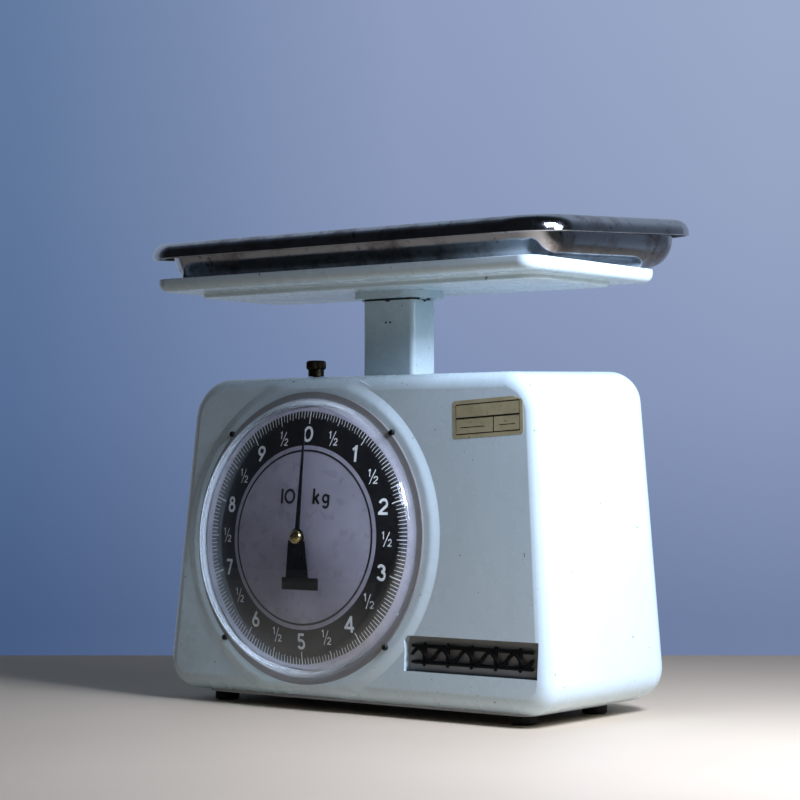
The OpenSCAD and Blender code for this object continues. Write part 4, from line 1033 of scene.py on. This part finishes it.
finished(punch_marks(), "black", "platform_group")
# Black band over the thin gap between column and collar plate: painted shade of the gap
gap_shade_edge = ((0.0, -1.1), (0.10, -1.0), (0.10, -0.05), (0.0, 0.0))
gap_shade_rings = [grown(COLUMN_W, COLUMN_D, COLUMN_R, by, COLUMN_TOP + dz) for by, dz in gap_shade_edge]
gap_shade_band = loft("column_gap_painted_shade", gap_shade_rings, shift(0, COLUMN_Y, 0), caps=False)
finished(smooth(gap_shade_band, 30, weighted=False), "black", "platform_group")


# Inner pieces keep their CAD shape and get a material

INNER = {
    "steel": ["base_plate", "foot_screws", "foot_nuts", "dial_posts", "front_plate", "rear_plate",
              "top_bridge", "bridge_screws", "frame_screws", "bearing_bracket", "bracket_screws",
              "upper_pivot_pin", "lower_pivot_pin", "spindle", "column_foot", "foot_plate_screws",
              "rack_screws", "upper_column_pin", "lower_column_pin"],
    "brass": ["front_bearing", "rear_bearing", "spring_hanger", "pinion", "rack"],
    "spring": ["main_spring", "pivot_clips", "column_clips"],
    "enamel": ["platform_rivets"],
}
for material, names in INNER.items():
    for n in names:
        nodes[n].data.materials.clear()
        nodes[n].data.materials.append(MATS[material])


# Stage and light, in metres; the photograph's right, and its way to the wall

RIGHT = Vector((math.cos(az), math.sin(az), 0))
TO_WALL = Vector((-math.sin(az), math.cos(az), 0))


def board():
    """A pale table top whose far edge lies level in the photograph's view."""
    half_w, near, far, thick = 3.0, 3.0, 0.335, 0.04
    corners = ((-half_w, -near), (half_w, -near), (half_w, far), (-half_w, far))
    top = [RIGHT * a + TO_WALL * b for a, b in corners]
    below = [c + Vector((0, 0, -thick)) for c in top]
    mesh = bpy.data.meshes.new("floor")
    mesh.from_pydata([tuple(c) for c in top + below], [],
                     [(0, 1, 2, 3), (4, 7, 6, 5), (0, 4, 5, 1), (1, 5, 6, 2), (2, 6, 7, 3), (3, 7, 4, 0)])
    ob = linked("floor", mesh)
    g = Graph("floor_pale")
    g.colour(g.ramp(g.noise(3, 4), [(0.3, rgb("C4B39C")), (0.7, rgb("CCBBA4"))]))
    g.set(Roughness=0.65)
    mesh.materials.append(g.mat)


board()

world = bpy.data.worlds.new("studio")
scene.world = world
world.use_nodes = True
wn = world.node_tree
room = wn.nodes["Background"]
coord = wn.nodes.new("ShaderNodeTexCoord")


def along(direction, stops):
    """Colour that runs along one direction of the room, from -1 to 1."""
    dot = wn.nodes.new("ShaderNodeVectorMath")
    dot.operation = "DOT_PRODUCT"
    dot.inputs[1].default_value = direction
    wn.links.new(coord.outputs["Generated"], dot.inputs[0])
    half = wn.nodes.new("ShaderNodeMath")
    half.operation = "MULTIPLY_ADD"
    half.inputs[1].default_value = 0.5
    half.inputs[2].default_value = 0.5
    wn.links.new(dot.outputs["Value"], half.inputs[0])
    r = wn.nodes.new("ShaderNodeValToRGB")
    el = r.color_ramp.elements
    while len(el) < len(stops):
        el.new(0.5)
    for e, (at, colour) in zip(el, stops):
        e.position = (at + 1) / 2
        e.color = colour
    wn.links.new(half.outputs[0], r.inputs["Fac"])
    return r.outputs["Color"]


# The room is dark in front of the scale; the wall behind it is blue-grey

dark_front = along(TO_WALL, [(0.05, (0.010, 0.011, 0.014, 1)), (0.30, (0.05, 0.065, 0.09, 1)),
                             (0.55, (0.28, 0.34, 0.45, 1))])
wn.links.new(dark_front, room.inputs["Color"])
seen = wn.nodes.new("ShaderNodeBackground")
across = along(RIGHT, [(-0.17, rgb("627AA0")), (-0.11, rgb("7387AB")), (0.0, rgb("8E9DC0")),
                       (0.16, rgb("9CAAC9"))])
upward = along((0.0, 0.0, 1.0), [(-0.07, (0.50, 0.55, 0.64, 1)), (0.03, (0.78, 0.81, 0.865, 1)),
                                 (0.12, (0.93, 0.94, 0.95, 1)), (0.20, (1, 1, 1, 1))])
wall = wn.nodes.new("ShaderNodeMix")
wall.data_type = "RGBA"
wall.blend_type = "MULTIPLY"
wall.inputs[0].default_value = 1.0
wn.links.new(across, wall.inputs[6])
wn.links.new(upward, wall.inputs[7])
wn.links.new(wall.outputs[2], seen.inputs["Color"])
path = wn.nodes.new("ShaderNodeLightPath")
mix = wn.nodes.new("ShaderNodeMixShader")
wn.links.new(path.outputs["Is Camera Ray"], mix.inputs["Fac"])
wn.links.new(room.outputs[0], mix.inputs[1])
wn.links.new(seen.outputs[0], mix.inputs[2])
wn.links.new(mix.outputs[0], wn.nodes["World Output"].inputs["Surface"])


def lamp(name, place, target, size, power, colour):
    """A rectangular lamp that the camera doesn't see."""
    data = bpy.data.lights.new(name, "AREA")
    data.shape = "RECTANGLE"
    data.size, data.size_y = size
    data.energy = power
    data.color = colour
    ob = linked(name, data)
    ob.location = place
    ob.rotation_mode = "QUATERNION"
    ob.rotation_quaternion = (Vector(target) - Vector(place)).to_track_quat("-Z", "Y")
    ob.visible_camera = False


lamp("key", (0.47, -0.105, 0.40), (0.08, -0.06, 0.12), (0.15, 0.15), 5.8, (0.71, 0.80, 1.03))
lamp("side", (0.62, 0.02, 0.34), (0.12, -0.06, 0.13), (0.16, 0.16), 1.0, (0.80, 0.88, 1.0))
scene.view_settings.view_transform = "Standard"
